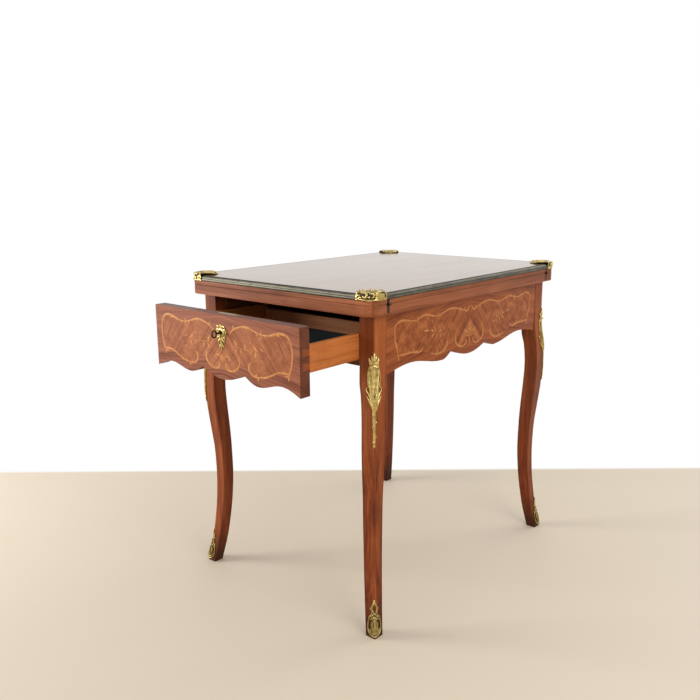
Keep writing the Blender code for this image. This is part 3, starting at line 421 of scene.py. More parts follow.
@dataclass(frozen=True)
class LegWood(Wood):
    """Leg veneer: paler post, a dark strip inside each face, painted shade on the post's front and at the
    foot.
    """

    post: Wood = Wood((0.42, 0.120, 0.032), (0.31, 0.078, 0.019), (0.15, 0.029, 0.007), streaks=40.0)
    post_from: Point = (0.30, 0.60)
    attribute: str = "face_share"
    strip_from: Point = (0.81, 0.87)
    strip_below: Point = (0.573, 0.597)
    strip_depth: float = 0.38
    # Painted shade towards the floor: its colour, the heights over which it fades out, and its strength
    grime_and_shade: Colour = (0.030, 0.010, 0.004)
    foot_shade_below: Point = (0.010, 0.110)
    foot_shade_depth: float = 0.85
    # Painted shade of the open drawer on the posts' front faces: the heights where it starts, and its
    # strength
    drawer_shadow_above: Point = (0.575, 0.605)
    drawer_shadow_depth: float = 0.42

    FRONT_FACING = -0.7

    def build(self, name: str) -> bpy.types.Material:
        """Make the legs' material.

        Args:
            name: the material's name.

        Returns:
            The material.
        """
        graph = Graph.material(name)
        x, y, z = graph.place()
        colour, fibre, pore = self.tone(graph, z, x, y)
        colour = graph.mix(graph.ease(z, *self.post_from), colour, self.post.tone(graph, z, x, y)[0])
        strip = graph.ease(graph.stored(self.attribute), *self.strip_from)
        below = 1.0 - graph.ease(z, *self.strip_below)
        colour = graph.mix(strip * below * self.strip_depth, colour, self.dark)
        # Painted shade: faces turned to the front are darkened on the post, standing in for the open drawer's
        # shadow
        front = graph.facing()[1].maths("LESS_THAN", self.FRONT_FACING) * graph.ease(z, *self.drawer_shadow_above)
        colour = graph.mix(front * self.drawer_shadow_depth, colour, self.dark)
        # Painted shade: the leg darkens towards the floor
        foot = 1.0 - graph.ease(z, *self.foot_shade_below)
        colour = graph.mix(foot * self.foot_shade_depth, colour, self.grime_and_shade)
        return self.close(graph, colour, fibre, pore)


@dataclass(frozen=True)
class BoardWood(Wood):
    """A drawer side, stained where its dovetails meet the front."""

    stain: Colour = (0.20, 0.045, 0.016)
    stained_before: float = 0.0
    stain_depth: float = 0.8
    stain_edge: float = 0.001

    def build(self, name: str) -> bpy.types.Material:
        """Make the board's material.

        Args:
            name: the material's name.

        Returns:
            The material.
        """
        graph = Graph.material(name)
        x, y, z = graph.place()
        colour, fibre, pore = self.tone(graph, y, z, x)
        edge = (self.stained_before - self.stain_edge, self.stained_before + self.stain_edge)
        stained = 1.0 - graph.ease(y, *edge)
        colour = graph.mix(stained * self.stain_depth, colour, self.stain)
        return self.close(graph, colour, fibre, pore)


@dataclass(frozen=True)
class PanelWood(Wood):
    """Figured veneer, book-matched about the middle of a panel, with slanting streaks."""

    centre: Point = (0.0, 0.65)
    run: int = 0
    slant: float = 38.0
    burr_from: float = 1.0
    burr: float = 0.0
    edge_depth: float = 0.0

    SWIRL = (70.0, 70.0, 70.0)
    KNOT_STOPS = (0.32, 0.52, 0.66)
    BURR_EASE = 0.05
    OFF_FACE = 0.5
    EDGE_SHADE = 0.5

    def build(self, name: str) -> bpy.types.Material:
        """Make the material of a veneered panel.

        Args:
            name: the material's name.

        Returns:
            The material.
        """
        graph = Graph.material(name)
        place = graph.place()
        aside = abs(place[self.run] - self.centre[0])
        height = place[2] - self.centre[1]
        deep = place[1 - self.run]
        turn = math.radians(self.slant)
        along = aside * math.cos(turn) - height * math.sin(turn)
        across = aside * math.sin(turn) + height * math.cos(turn)
        colour, fibre, pore = self.tone(graph, along, across, deep)
        if self.burr > 0:
            swirl = graph.noise((aside, height, deep), self.SWIRL, 5.0, 0.7)
            outer = graph.ease(aside, self.burr_from, self.burr_from + self.BURR_EASE)
            colour = graph.mix(outer * self.burr, colour, self.tinted(graph, swirl, self.KNOT_STOPS))
        if self.edge_depth > 0:
            off_face = abs(graph.facing()[1 - self.run]).maths("LESS_THAN", self.OFF_FACE)
            shade = tuple(part * self.EDGE_SHADE for part in self.dark)
            colour = graph.mix(off_face * self.edge_depth, colour, shade)
        return self.close(graph, colour, fibre, pore)


@dataclass(frozen=True)
class LeafWood(Wood):
    """A leaf of the top: faded book-matched field, crossbanded border with strings, long-grained edges."""

    faded: Wood = Wood((0.36, 0.215, 0.118), (0.32, 0.186, 0.100), (0.25, 0.138, 0.072),
                       streaks=22.0, mottle=0.35)
    middle: Point = (0.0, 0.0)
    half: Point = (0.3, 0.4)
    border: float = 0.050
    string: float = 0.0011
    string_colour: Colour = (0.34, 0.22, 0.12)
    face_roughness: float = 0.16
    face_coat: float = 0.45
    # Painted shade on the edges that face along x, as a share towards the dark tone
    side_shade_depth: float = 0.35

    BAND_DEPTH = 0.2
    STRING_GAP = 0.0065
    FLAT_FACING, SIDE_FACING = 0.9, 0.7
    WORN = (14.0, 5.0, 1.0)
    WORN_GLOSS = 0.10
    COAT_ROUGHNESS = 0.10
    FACE_RELIEF = 0.00002
    FACE_BUMP = 0.4

    def build(self, name: str) -> bpy.types.Material:
        """Make the leaf's material.

        Args:
            name: the material's name.

        Returns:
            The material.
        """
        graph = Graph.material(name)
        x, y, z = graph.place()
        aside, ahead = abs(x - self.middle[0]), abs(y - self.middle[1])
        to_side, to_end = self.half[0] - aside, self.half[1] - ahead
        to_edge = to_side.maths("MINIMUM", to_end)
        at_end = to_side.maths("GREATER_THAN", to_end)
        ground = self.faded.tone(graph, y, aside, z)
        side_band = self.faded.tone(graph, x, y, z)
        end_band = self.faded.tone(graph, y, x, z)
        band = graph.mix(at_end, side_band[0], end_band[0])
        in_band = to_edge.maths("LESS_THAN", self.border)
        face = graph.mix(in_band, ground[0], graph.mix(self.BAND_DEPTH, band, self.faded.dark))
        for place in (self.border, self.border - self.STRING_GAP):
            line = abs(to_edge - place).maths("LESS_THAN", self.string)
            face = graph.mix(line, face, self.string_colour)
        side = self.tone(graph, y, z, x)
        end = self.tone(graph, x, z, y)
        nx, _, nz = graph.facing()
        flat = abs(nz).maths("GREATER_THAN", self.FLAT_FACING)
        on_side = abs(nx).maths("GREATER_THAN", self.SIDE_FACING)
        # Painted shade: the edges that face along x are darkened towards the dark tone
        edge = graph.mix(on_side, end[0], graph.mix(self.side_shade_depth, side[0], self.dark))
        colour = graph.mix(flat, edge, face)
        fibre = graph.blend(flat, graph.blend(on_side, end[1], side[1]), ground[1])
        worn = graph.noise((x, y, z), self.WORN, 4.0)
        polish = graph.blend(flat, self.roughness, self.face_roughness) + (worn - 0.5) * self.WORN_GLOSS
        constants = {"Coat Weight": flat * self.face_coat, "Coat Roughness": self.COAT_ROUGHNESS,
                     "Specular IOR Level": self.specular}
        return graph.surface(colour, polish, constants, fibre * self.FACE_RELIEF, self.FACE_BUMP)


@dataclass(frozen=True)
class Gilding:
    """Cast gilt bronze, bright on its ridges, with grime and painted shade darkening its hollows."""

    bright: Colour = (0.66, 0.50, 0.185)
    rubbed: Colour = (0.40, 0.285, 0.085)
    # Colour of the hollows' grime and painted shade, also used for the darkening towards the floor
    grime_and_shade: Colour = (0.040, 0.026, 0.008)
    attribute: str = "hollow"
    # How much darker the casting grows towards the floor, and the heights over which that fades out
    low_darkening: float = 0.35
    low_darkening_below: Point = (0.05, 0.12)

    CLOUD = (130.0, 130.0, 130.0)
    GRIT = (900.0, 900.0, 900.0)
    RUBBED_EDGE = (0.38, 0.70)
    # Grime and painted shade in the hollows: where it eases in, and how far the cloud moves it
    DIRT_EDGE, DIRT_SPREAD = (0.34, 0.74), 0.30
    ROUGHNESS, GRIT_GLOSS, DIRT_GLOSS = 0.27, 0.16, 0.42
    DIRT_COVER = 0.55
    GRIT_RELIEF, CLOUD_RELIEF = 0.00012, 0.0002
    BUMP = 0.5

    def build(self, name: str) -> bpy.types.Material:
        """Make the material.

        Args:
            name: the material's name.

        Returns:
            The material.
        """
        graph = Graph.material(name)
        x, y, z = graph.place()
        hollow = graph.stored(self.attribute)
        cloud = graph.noise((x, y, z), self.CLOUD, 4.0)
        grit = graph.noise((x, y, z), self.GRIT, 2.0)
        gold = graph.mix(graph.ease(cloud, *self.RUBBED_EDGE), self.bright, self.rubbed)
        # Grime and painted shade: dark, rougher and less metallic where the casting lies low
        dirt_and_shade = graph.ease(hollow + (cloud - 0.5) * self.DIRT_SPREAD, *self.DIRT_EDGE)
        colour = graph.mix(dirt_and_shade, gold, self.grime_and_shade)
        # Darker towards the floor
        low = 1.0 - graph.ease(z, *self.low_darkening_below)
        colour = graph.mix(low * self.low_darkening, colour, self.grime_and_shade)
        polish = self.ROUGHNESS + (grit - 0.5) * self.GRIT_GLOSS + dirt_and_shade * self.DIRT_GLOSS
        relief = grit * self.GRIT_RELIEF + cloud * self.CLOUD_RELIEF
        return graph.surface(colour, polish, None, relief, self.BUMP, 1.0 - dirt_and_shade * self.DIRT_COVER)


@dataclass(frozen=True)
class AgedMetal:
    """Plain metal with drawn streaks, stains and a worn polish, and painted shade in its grooves."""

    clean: Colour
    stained: Colour
    roughness: float = 0.38
    drawn: Grain = Grain.ALONG_Y
    grooves: tuple[float, ...] = ()
    groove_width: float = 0.0011

    STREAK = (9.0, 700.0, 700.0)
    STAIN = (45.0, 90.0, 90.0)
    STAIN_SHARE, STREAK_SHARE = 0.65, 0.35
    STAINED_AT, CLEAN_AT = 0.34, 0.62
    # Painted shade in the grooves: its dark core as a share of the groove's width, its strength and its
    # darkness
    GROOVE_CORE, GROOVE_DEPTH, GROOVE_SHADE = 0.4, 0.85, 0.25
    STAIN_GLOSS = 0.25
    STREAK_RELIEF, STAIN_RELIEF = 0.00003, 0.00006
    BUMP = 0.5

    def build(self, name: str) -> bpy.types.Material:
        """Make the material.

        Args:
            name: the material's name.

        Returns:
            The material.
        """
        graph = Graph.material(name)
        place = graph.place()
        along, across, deep = (place[axis] for axis in self.drawn.value)
        streak = graph.noise((along, across, deep), self.STREAK, 3.0)
        stain = graph.noise((along, across, deep), self.STAIN, 5.0, 0.65)
        tone = stain * self.STAIN_SHARE + streak * self.STREAK_SHARE
        colour = graph.ramp(tone, ((self.STAINED_AT, self.stained), (self.CLEAN_AT, self.clean)))
        # Painted shade: a dark band at the height of each groove
        shade = tuple(part * self.GROOVE_SHADE for part in self.stained)
        for groove in self.grooves:
            core = self.groove_width * self.GROOVE_CORE
            dirt_and_shade = 1.0 - graph.ease(abs(place[2] - groove), core, self.groove_width)
            colour = graph.mix(dirt_and_shade * self.GROOVE_DEPTH, colour, shade)
        polish = self.roughness + (stain - 0.5) * self.STAIN_GLOSS
        relief = streak * self.STREAK_RELIEF + stain * self.STAIN_RELIEF
        return graph.surface(colour, polish, None, relief, self.BUMP, 1.0)


@dataclass(frozen=True)
class Felted:
    """Wool cloth: a soft nap with short fibres and faint shading."""

    nap: Colour
    shade: Colour

    FUZZ = (2600.0, 2600.0, 900.0)
    BRUSHED = (24.0, 10.0, 10.0)
    FUZZ_SHARE, BRUSHED_SHARE = 0.6, 0.4
    NAP_EDGE = (0.36, 0.66)
    ROUGHNESS, FUZZ_GLOSS = 0.94, 0.06
    FUZZ_RELIEF = 0.00035
    BUMP = 0.6
    SHEEN = {"Sheen Weight": 0.05, "Sheen Roughness": 0.6, "Specular IOR Level": 0.06}

    def build(self, name: str) -> bpy.types.Material:
        """Make the material.

        Args:
            name: the material's name.

        Returns:
            The material.
        """
        graph = Graph.material(name)
        place = graph.place()
        fuzz = graph.noise(place, self.FUZZ, 3.0, 0.7)
        brushed = graph.noise(place, self.BRUSHED, 4.0)
        tone = fuzz * self.FUZZ_SHARE + brushed * self.BRUSHED_SHARE
        colour = graph.mix(graph.ease(tone, *self.NAP_EDGE), self.shade, self.nap)
        polish = self.ROUGHNESS - fuzz * self.FUZZ_GLOSS
        return graph.surface(colour, polish, self.SHEEN, fuzz * self.FUZZ_RELIEF, self.BUMP)


@dataclass(frozen=True)
class Finishes:
    """All materials of the table, each made once."""

    made: dict[str, bpy.types.Material] = field(default_factory=dict)

    LEG = {"pale": (0.40, 0.106, 0.028), "warm": (0.23, 0.049, 0.012), "dark": (0.066, 0.010, 0.003)}
    SIDE = {"pale": (0.45, 0.134, 0.038), "warm": (0.29, 0.075, 0.019), "dark": (0.115, 0.021, 0.006)}
    SIDE_FIELD = {"pale": (0.49, 0.160, 0.046), "warm": (0.315, 0.087, 0.022), "dark": (0.15, 0.031, 0.008)}
    END = {"pale": (0.45, 0.168, 0.096), "warm": (0.325, 0.110, 0.060), "dark": (0.140, 0.037, 0.019)}
    END_FIELD = {"pale": (0.52, 0.192, 0.086), "warm": (0.39, 0.132, 0.057), "dark": (0.205, 0.055, 0.022)}
    LEAF_EDGE = {"pale": (0.48, 0.168, 0.072), "warm": (0.32, 0.099, 0.039), "dark": (0.15, 0.037, 0.013)}
    PLAIN = {"pale": (0.25, 0.100, 0.040), "warm": (0.17, 0.060, 0.024), "dark": (0.09, 0.028, 0.011)}
    PATINA = {"clean": (0.16, 0.150, 0.116), "stained": (0.060, 0.053, 0.038)}
    # Depths below the top of the grooves that get painted shade
    GROOVES_BELOW_TOP = (0.0005, 0.0072)
    PANEL_HEIGHT = 0.66

    def get(self, name: str) -> bpy.types.Material:
        """A material by its name in the palette, made at first use."""
        if name not in self.made:
            self.made[name] = self.palette()[name].build(name)
        return self.made[name]

    def palette(self) -> dict[str, object]:
        """The finishes by name."""
        leaf_low, leaf_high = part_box("lower_leaf")
        centre = (leaf_low + leaf_high) / 2
        half = (leaf_high - leaf_low) / 2
        drawer_middle = sum(corner.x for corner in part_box("drawer_front")) / 2
        apron_middle = sum(corner.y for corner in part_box("apron_right")) / 2
        grooves = tuple(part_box("upper_leaf")[1].z - drop for drop in self.GROOVES_BELOW_TOP)
        side = {"centre": (apron_middle, self.PANEL_HEIGHT), "run": 1}
        front = {"centre": (drawer_middle, self.PANEL_HEIGHT), "run": 0}
        return {
            "leg_veneer": LegWood(**self.LEG, streaks=46.0),
            "side_veneer": PanelWood(**self.SIDE, **side, slant=8.0),
            "end_veneer": PanelWood(**self.END, **front, slant=8.0, edge_depth=0.75),
            "side_field": PanelWood(**self.SIDE_FIELD, **side, slant=47.0, streaks=60.0, ripple=0.3,
                                    burr_from=0.04, burr=0.65),
            "end_field": PanelWood(**self.END_FIELD, **front, slant=50.0, streaks=80.0, ripple=0.3,
                                   burr_from=0.03, burr=0.45),
            "leaf_veneer": LeafWood(**self.LEAF_EDGE, middle=(centre.x, centre.y), half=(half.x, half.y)),
            "plain_wood": Wood(**self.PLAIN, grain=Grain.ALONG_Y, roughness=0.65),
            "cross_wood": Wood(**self.PLAIN, grain=Grain.ALONG_X, roughness=0.65),
            "drawer_side": BoardWood((0.63, 0.212, 0.057), (0.51, 0.157, 0.040), (0.32, 0.084, 0.021),
                                     streaks=60.0, roughness=0.48,
                                     stained_before=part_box("drawer_front")[1].y),
            "drawer_cross": Wood((0.68, 0.295, 0.132), (0.54, 0.214, 0.094), (0.35, 0.130, 0.057),
                                 Grain.ALONG_X, streaks=50.0, roughness=0.6),
            "honey_inlay": Wood((0.73, 0.345, 0.118), (0.62, 0.265, 0.086), (0.46, 0.172, 0.052),
                                Grain.ALONG_Z, streaks=120.0, roughness=0.34),
            "amber_inlay": Wood((0.60, 0.255, 0.082), (0.51, 0.195, 0.058), (0.38, 0.128, 0.036),
                                Grain.ALONG_Z, streaks=120.0, roughness=0.34),
            "smoked_inlay": Wood((0.13, 0.085, 0.058), (0.085, 0.052, 0.036), (0.05, 0.030, 0.021),
                                 Grain.ALONG_Z, streaks=120.0, roughness=0.36),
            "gilding": Gilding(),
            "moulding_sides": AgedMetal(**self.PATINA, roughness=0.50, grooves=grooves),
            "moulding_ends": AgedMetal(**self.PATINA, roughness=0.50, drawn=Grain.ALONG_X, grooves=grooves),
            "hinge_brass": AgedMetal((0.075, 0.058, 0.034), (0.020, 0.016, 0.011), 0.55, Grain.ALONG_Z),
            "lock_brass": AgedMetal((0.50, 0.36, 0.14), (0.20, 0.13, 0.05), 0.40, Grain.ALONG_X),
            "black_iron": AgedMetal((0.045, 0.040, 0.036), (0.012, 0.011, 0.010), 0.42, Grain.ALONG_Y),
            "bright_steel": AgedMetal((0.42, 0.41, 0.39), (0.20, 0.19, 0.18), 0.36, Grain.ALONG_Z),
            "blue_felt": Felted((0.0035, 0.040, 0.055), (0.0015, 0.018, 0.026)),
            "green_baize": Felted((0.040, 0.155, 0.075), (0.018, 0.080, 0.038)),
        }


# Modelling bench


class Bench:
    """Modelling operators with their selection looked after."""

    MERGE_BELOW = 2e-6
    FLAT_DEGREES = 0.3

    @staticmethod
    def take(*pieces: bpy.types.Object) -> None:
        """Select only these objects, the first of them active."""
        bpy.ops.object.select_all(action="DESELECT")
        for piece in pieces:
            piece.select_set(True)
        bpy.context.view_layer.objects.active = pieces[0]

    @staticmethod
    def edit(piece: bpy.types.Object) -> None:
        """Open a mesh in edit mode with all of it selected."""
        Bench.take(piece)
        bpy.ops.object.mode_set(mode="EDIT")
        bpy.ops.mesh.select_all(action="SELECT")

    @staticmethod
    def close() -> None:
        """Leave edit mode."""
        bpy.ops.object.mode_set(mode="OBJECT")

    @staticmethod
    def apply(piece: bpy.types.Object, kind: str, **settings: object) -> None:
        """Add a modifier and apply it.

        Args:
            piece: the object.
            kind: the modifier's type.
            settings: the modifier's attributes.
        """
        Bench.take(piece)
        modifier = piece.modifiers.new(kind.title(), kind)
        for key, value in settings.items():
            setattr(modifier, key, value)
        bpy.ops.object.modifier_apply(modifier=modifier.name)

    @staticmethod
    def copy_node(node: str, name: str) -> bpy.types.Object:
        """Copy a CAD node as a merged mesh with its flat faces whole.

        Args:
            node: the CAD node.
            name: the copy's name.

        Returns:
            The copy.
        """
        mesh = frame["nodes"][node].data.copy()
        mesh.materials.clear()
        piece = bpy.data.objects.new(name, mesh)
        bpy.context.scene.collection.objects.link(piece)
        Bench.edit(piece)
        bpy.ops.mesh.remove_doubles(threshold=Bench.MERGE_BELOW)
        bpy.ops.mesh.dissolve_limited(angle_limit=math.radians(Bench.FLAT_DEGREES))
        Bench.close()
        return piece

    @staticmethod
    def soften(piece: bpy.types.Object, bevel: float = 0.0, angle: float = 32.0) -> None:
        """Ease the sharp edges of a piece and shade its curves smooth.

        Args:
            piece: the object.
            bevel: width of the eased edge, or 0 for none.
            angle: degrees from which an edge counts as sharp.
        """
        if bevel > 0:
            Bench.apply(piece, "BEVEL", width=bevel, segments=2, limit_method="ANGLE",
                        angle_limit=math.radians(angle), use_clamp_overlap=True)
        Bench.take(piece)
        bpy.ops.object.shade_smooth_by_angle(angle=math.radians(angle))
        Bench.apply(piece, "WEIGHTED_NORMAL", keep_sharp=True)

    @staticmethod
    def join(name: str, pieces: Sequence[bpy.types.Object]) -> bpy.types.Object:
        """Join meshes into the first of them.

        Args:
            name: the joined object's name.
            pieces: the meshes.

        Returns:
            The joined object.
        """
        Bench.take(*pieces)
        if len(pieces) > 1:
            bpy.ops.object.join()
        pieces[0].name = name
        return pieces[0]


def settle(piece: bpy.types.Object, material: bpy.types.Material, body: Body, slot: Slot,
           *nodes: str) -> bpy.types.Object:
    """Give a piece its material and its body.

    Args:
        piece: the object.
        material: its material.
        body: the body that it rides on.
        slot: the record's material slot; not used.
        nodes: the CAD nodes that it stands for.

    Returns:
        The piece.
    """
    piece.data.materials.clear()
    piece.data.materials.append(material)
    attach(piece, body.value)
    if nodes:
        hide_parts(*nodes)
    LOG.info("%s on %s, %d faces", piece.name, body.value, len(piece.data.polygons))
    return piece


def dress(node: str, material: bpy.types.Material) -> None:
    """Give a CAD node that stays a finished material.

    Args:
        node: the CAD node.
        material: its material.
    """
    mesh = frame["nodes"][node].data
    mesh.materials.clear()
    mesh.materials.append(material)
    LOG.info("%s dressed in %s", node, material.name)


def refine(node: str, name: str, material: bpy.types.Material, body: Body, slot: Slot,
           bevel: float = 0.0, angle: float = 32.0) -> bpy.types.Object:
    """Replace a CAD node by its own shape with eased edges and smooth curves.

    Args:
        node: the CAD node.
        name: the new piece's name.
        material: its material.
        body: the body that it rides on.
        slot: the record's material slot.
        bevel: width of the eased edges.
        angle: degrees from which an edge counts as sharp.

    Returns:
        The new piece.
    """
    piece = Bench.copy_node(node, name)
    Bench.soften(piece, bevel, angle)
    return settle(piece, material, body, slot, node)


# Strokes and reliefs

# A leaf's bend and widths by share of its length, and a bead's spots and widths by share of its radius
LEAF_BEND = ((0.0, 0.0), (0.4, 0.25), (0.72, 0.62), (1.0, 1.0))
LEAF_WIDTHS = (0.25, 1.0, 0.72, 0.08)
BEAD_SPOTS = (-0.92, -0.552, 0.0, 0.552, 0.92)
BEAD_WIDTHS = (0.25, 0.8, 1.0, 0.8, 0.25)
RING_SIDES = 8


@dataclass(frozen=True)
class Stroke:
    """A line on a flat sheet in millimetres, whose half width changes along it."""

    points: tuple[Point, ...]
    widths: tuple[float, ...]
    lift: float = 0.0

    def mirrored(self) -> "Stroke":
        """The same stroke on the other side of the middle line."""
        return Stroke(tuple((-u, v) for u, v in self.points), self.widths, self.lift)

    def widened(self, factor: float) -> "Stroke":
        """The same stroke with its widths times a factor."""
        return Stroke(self.points, tuple(width * factor for width in self.widths), self.lift)

    def width_at(self, share: float) -> float:
        """Half width at a share of the stroke's points."""
        return float(np.interp(share, np.linspace(0, 1, len(self.widths)), self.widths))


def both(*strokes: Stroke) -> tuple[Stroke, ...]:
    """The strokes and their mirror images."""
    return tuple(s for stroke in strokes for s in (stroke, stroke.mirrored()))


def leaf(u: float, v: float, turn: float, length: float, width: float, curl: float = 0.0) -> Stroke:
    """A leaf or petal from a point, at an angle in degrees.

    Args:
        u: its root across the sheet.
        v: its root up the sheet.
        turn: its direction, counter-clockwise from +u.
        length: its length.
        width: its largest half width.
        curl: how far its tip bends to the left, as a share of its length.

    Returns:
        The stroke.
    """
    ahead = Vector((math.cos(math.radians(turn)), math.sin(math.radians(turn))))
    left = Vector((-ahead.y, ahead.x))
    spots = []
    for share, side in LEAF_BEND:
        spot = Vector((u, v)) + ahead * (length * share) + left * (length * curl * side)
        spots.append((spot.x, spot.y))
    return Stroke(tuple(spots), tuple(width * share for share in LEAF_WIDTHS))


def bead(u: float, v: float, radius: float, lift: float = 0.0) -> Stroke:
    """A round bead."""
    spots = tuple((u, v + radius * step) for step in BEAD_SPOTS)
    return Stroke(spots, tuple(radius * share for share in BEAD_WIDTHS), lift)


def ring(u: float, v: float, radius: float, width: float, lift: float = 0.0) -> Stroke:
    """A round hoop."""
    turns = [math.tau / RING_SIDES * step for step in range(RING_SIDES + 1)]
    spots = tuple((u + radius * math.cos(turn), v + radius * math.sin(turn)) for turn in turns)
    return Stroke(spots, (width, width), lift)


class Sheet:
    """Turns strokes on a flat sheet into meshes, in millimetres."""

    SMOOTHING = {"factor": 0.5, "iterations": 2}
    BACK_HEIGHT = 0.05
    LEVEL_HOLLOW, DIP_WEIGHT = 0.30, 0.70
    SMOOTH_DEGREES = 50.0

    @staticmethod
    def tubes(name: str, strokes: Sequence[Stroke], flatten: float, steps: int = 5,
              sides: int = 2) -> bpy.types.Object:
        """Draw strokes as tapering tubes, pressed flat.

        Args:
            name: the object's name.
            strokes: the strokes.
            flatten: height over half width.
            steps: segments between a stroke's points.
            sides: bevel resolution of the tubes.

        Returns:
            A mesh object.
        """
        data = bpy.data.curves.new(name, "CURVE")
        data.dimensions = "3D"
        data.bevel_depth = 1.0
        data.bevel_resolution = sides
        data.use_fill_caps = True
        data.resolution_u = steps
        for stroke in strokes:
            spline = data.splines.new("BEZIER")
            spline.bezier_points.add(len(stroke.points) - 1)
            last = len(stroke.points) - 1
            for index, (knot, (u, v)) in enumerate(zip(spline.bezier_points, stroke.points)):
                knot.co = (u, v, stroke.lift / flatten)
                knot.handle_left_type = knot.handle_right_type = "AUTO"
                knot.radius = stroke.width_at(index / last)
        drawn = bpy.data.objects.new(name, data)
        bpy.context.scene.collection.objects.link(drawn)
        Bench.take(drawn)
        bpy.ops.object.convert(target="MESH")
        drawn = bpy.context.view_layer.objects.active
        drawn.scale = (1.0, 1.0, flatten)
        bpy.ops.object.transform_apply(location=False, rotation=False, scale=True)
        return drawn

    @staticmethod
    def field(name: str, outline: Sequence[Point], cell: float) -> bpy.types.Object:
        """A flat veneer cut to an outline.

        Args:
            name: the object's name.
            outline: its corners, in millimetres.
            cell: thickness of the veneer.

        Returns:
            A mesh object.
        """
        data = bpy.data.curves.new(name, "CURVE")
        data.dimensions = "2D"
        data.fill_mode = "BOTH"
        data.extrude = cell / 2
        spline = data.splines.new("POLY")
        spline.points.add(len(outline) - 1)
        for knot, (u, v) in zip(spline.points, outline):
            knot.co = (u, v, 0.0, 1.0)
        spline.use_cyclic_u = True
        cut = bpy.data.objects.new(name, data)
        bpy.context.scene.collection.objects.link(cut)
        Bench.take(cut)
        bpy.ops.object.convert(target="MESH")
        return bpy.context.view_layer.objects.active

    @staticmethod
    def cast(name: str, ribs: Sequence[Stroke], plates: Sequence[Stroke], voxel: float,
             rib_height: float = 0.8, plate_height: float = 0.22, depth: float = 0.9,
             sunk: float = 0.55) -> bpy.types.Object:
        """Fuse strokes into one casting with a flat back, in millimetres.

        Args:
            name: the object's name.
            ribs: raised strokes.
            plates: broad low strokes behind them.
            voxel: grain of the fused mesh.
            rib_height: height of a rib over its half width.
            plate_height: height of a plate over its half width.
            depth: the depth in millimetres that counts as fully hollow.
            sunk: how much a low place counts as hollow.

        Returns:
            A mesh object whose "hollow" attribute is high in its hollows.
        """
        drawn = [Sheet.tubes(name + "_ribs", ribs, rib_height)]
        if plates:
            drawn.append(Sheet.tubes(name + "_plates", plates, plate_height))
        piece = Bench.join(name, drawn)
        Bench.apply(piece, "REMESH", mode="VOXEL", voxel_size=voxel)
        Bench.apply(piece, "SMOOTH", **Sheet.SMOOTHING)
        Bench.edit(piece)
        bpy.ops.mesh.bisect(plane_co=(0, 0, Sheet.BACK_HEIGHT), plane_no=(0, 0, 1), use_fill=True,
                            clear_inner=True)
        Bench.close()
        Sheet.mark_hollows(piece, depth, sunk)
        return piece

    @staticmethod
    def mark_hollows(piece: bpy.types.Object, depth: float, sunk: float, spread: int = 14,
                     raised: float = 2.2) -> None:
        """Store how far each point lies below its surroundings.

        Args:
            piece: the casting, in millimetres, with its height along z.
            depth: the depth in millimetres that counts as fully hollow.
            sunk: how much a low place counts as hollow.
            spread: rounds of averaging.
            raised: the height in millimetres from which a point counts as a ridge.
        """
        mesh = piece.data
        points = np.empty(len(mesh.vertices) * 3)
        mesh.vertices.foreach_get("co", points)
        height = points.reshape(-1, 3)[:, 2]
        pairs = np.empty(len(mesh.edges) * 2, dtype=int)
        mesh.edges.foreach_get("vertices", pairs)
        first, second = pairs.reshape(-1, 2).T
        count = np.bincount(pairs, minlength=len(height))
        around = height.copy()
        for _ in range(spread):
            total = np.bincount(first, around[second], len(height))
            total = total + np.bincount(second, around[first], len(height))
            around = total / np.maximum(count, 1)
        low = 1.0 - np.clip(height / raised, 0, 1)
        dip = np.clip(Sheet.LEVEL_HOLLOW + (around - height) / depth, 0, 1)
        hollow = dip * Sheet.DIP_WEIGHT + low * sunk
        layer = mesh.attributes.new(Gilding.attribute, "FLOAT", "POINT")
        layer.data.foreach_set("value", np.clip(hollow, 0, 1).astype(np.float32))

    @staticmethod
    def lay(piece: bpy.types.Object, wrap: Wrap) -> None:
        """Move a flat sheet's points onto a surface and shade it smooth.

        Args:
            piece: the mesh object, in millimetres.
            wrap: gives places in metres for points in millimetres.
        """
        mesh = piece.data
        points = np.empty(len(mesh.vertices) * 3)
        mesh.vertices.foreach_get("co", points)
        mesh.vertices.foreach_set("co", wrap(points.reshape(-1, 3)).ravel())
        mesh.update()
        Bench.edit(piece)
        bpy.ops.mesh.normals_make_consistent(inside=False)
        Bench.close()
        Bench.take(piece)
        bpy.ops.object.shade_smooth_by_angle(angle=math.radians(Sheet.SMOOTH_DEGREES))


def twin(piece: bpy.types.Object, name: str) -> bpy.types.Object:
    """A copy of a piece with a mesh of its own."""
    copy = bpy.data.objects.new(name, piece.data.copy())
    bpy.context.scene.collection.objects.link(copy)
    return copy


# Carcase


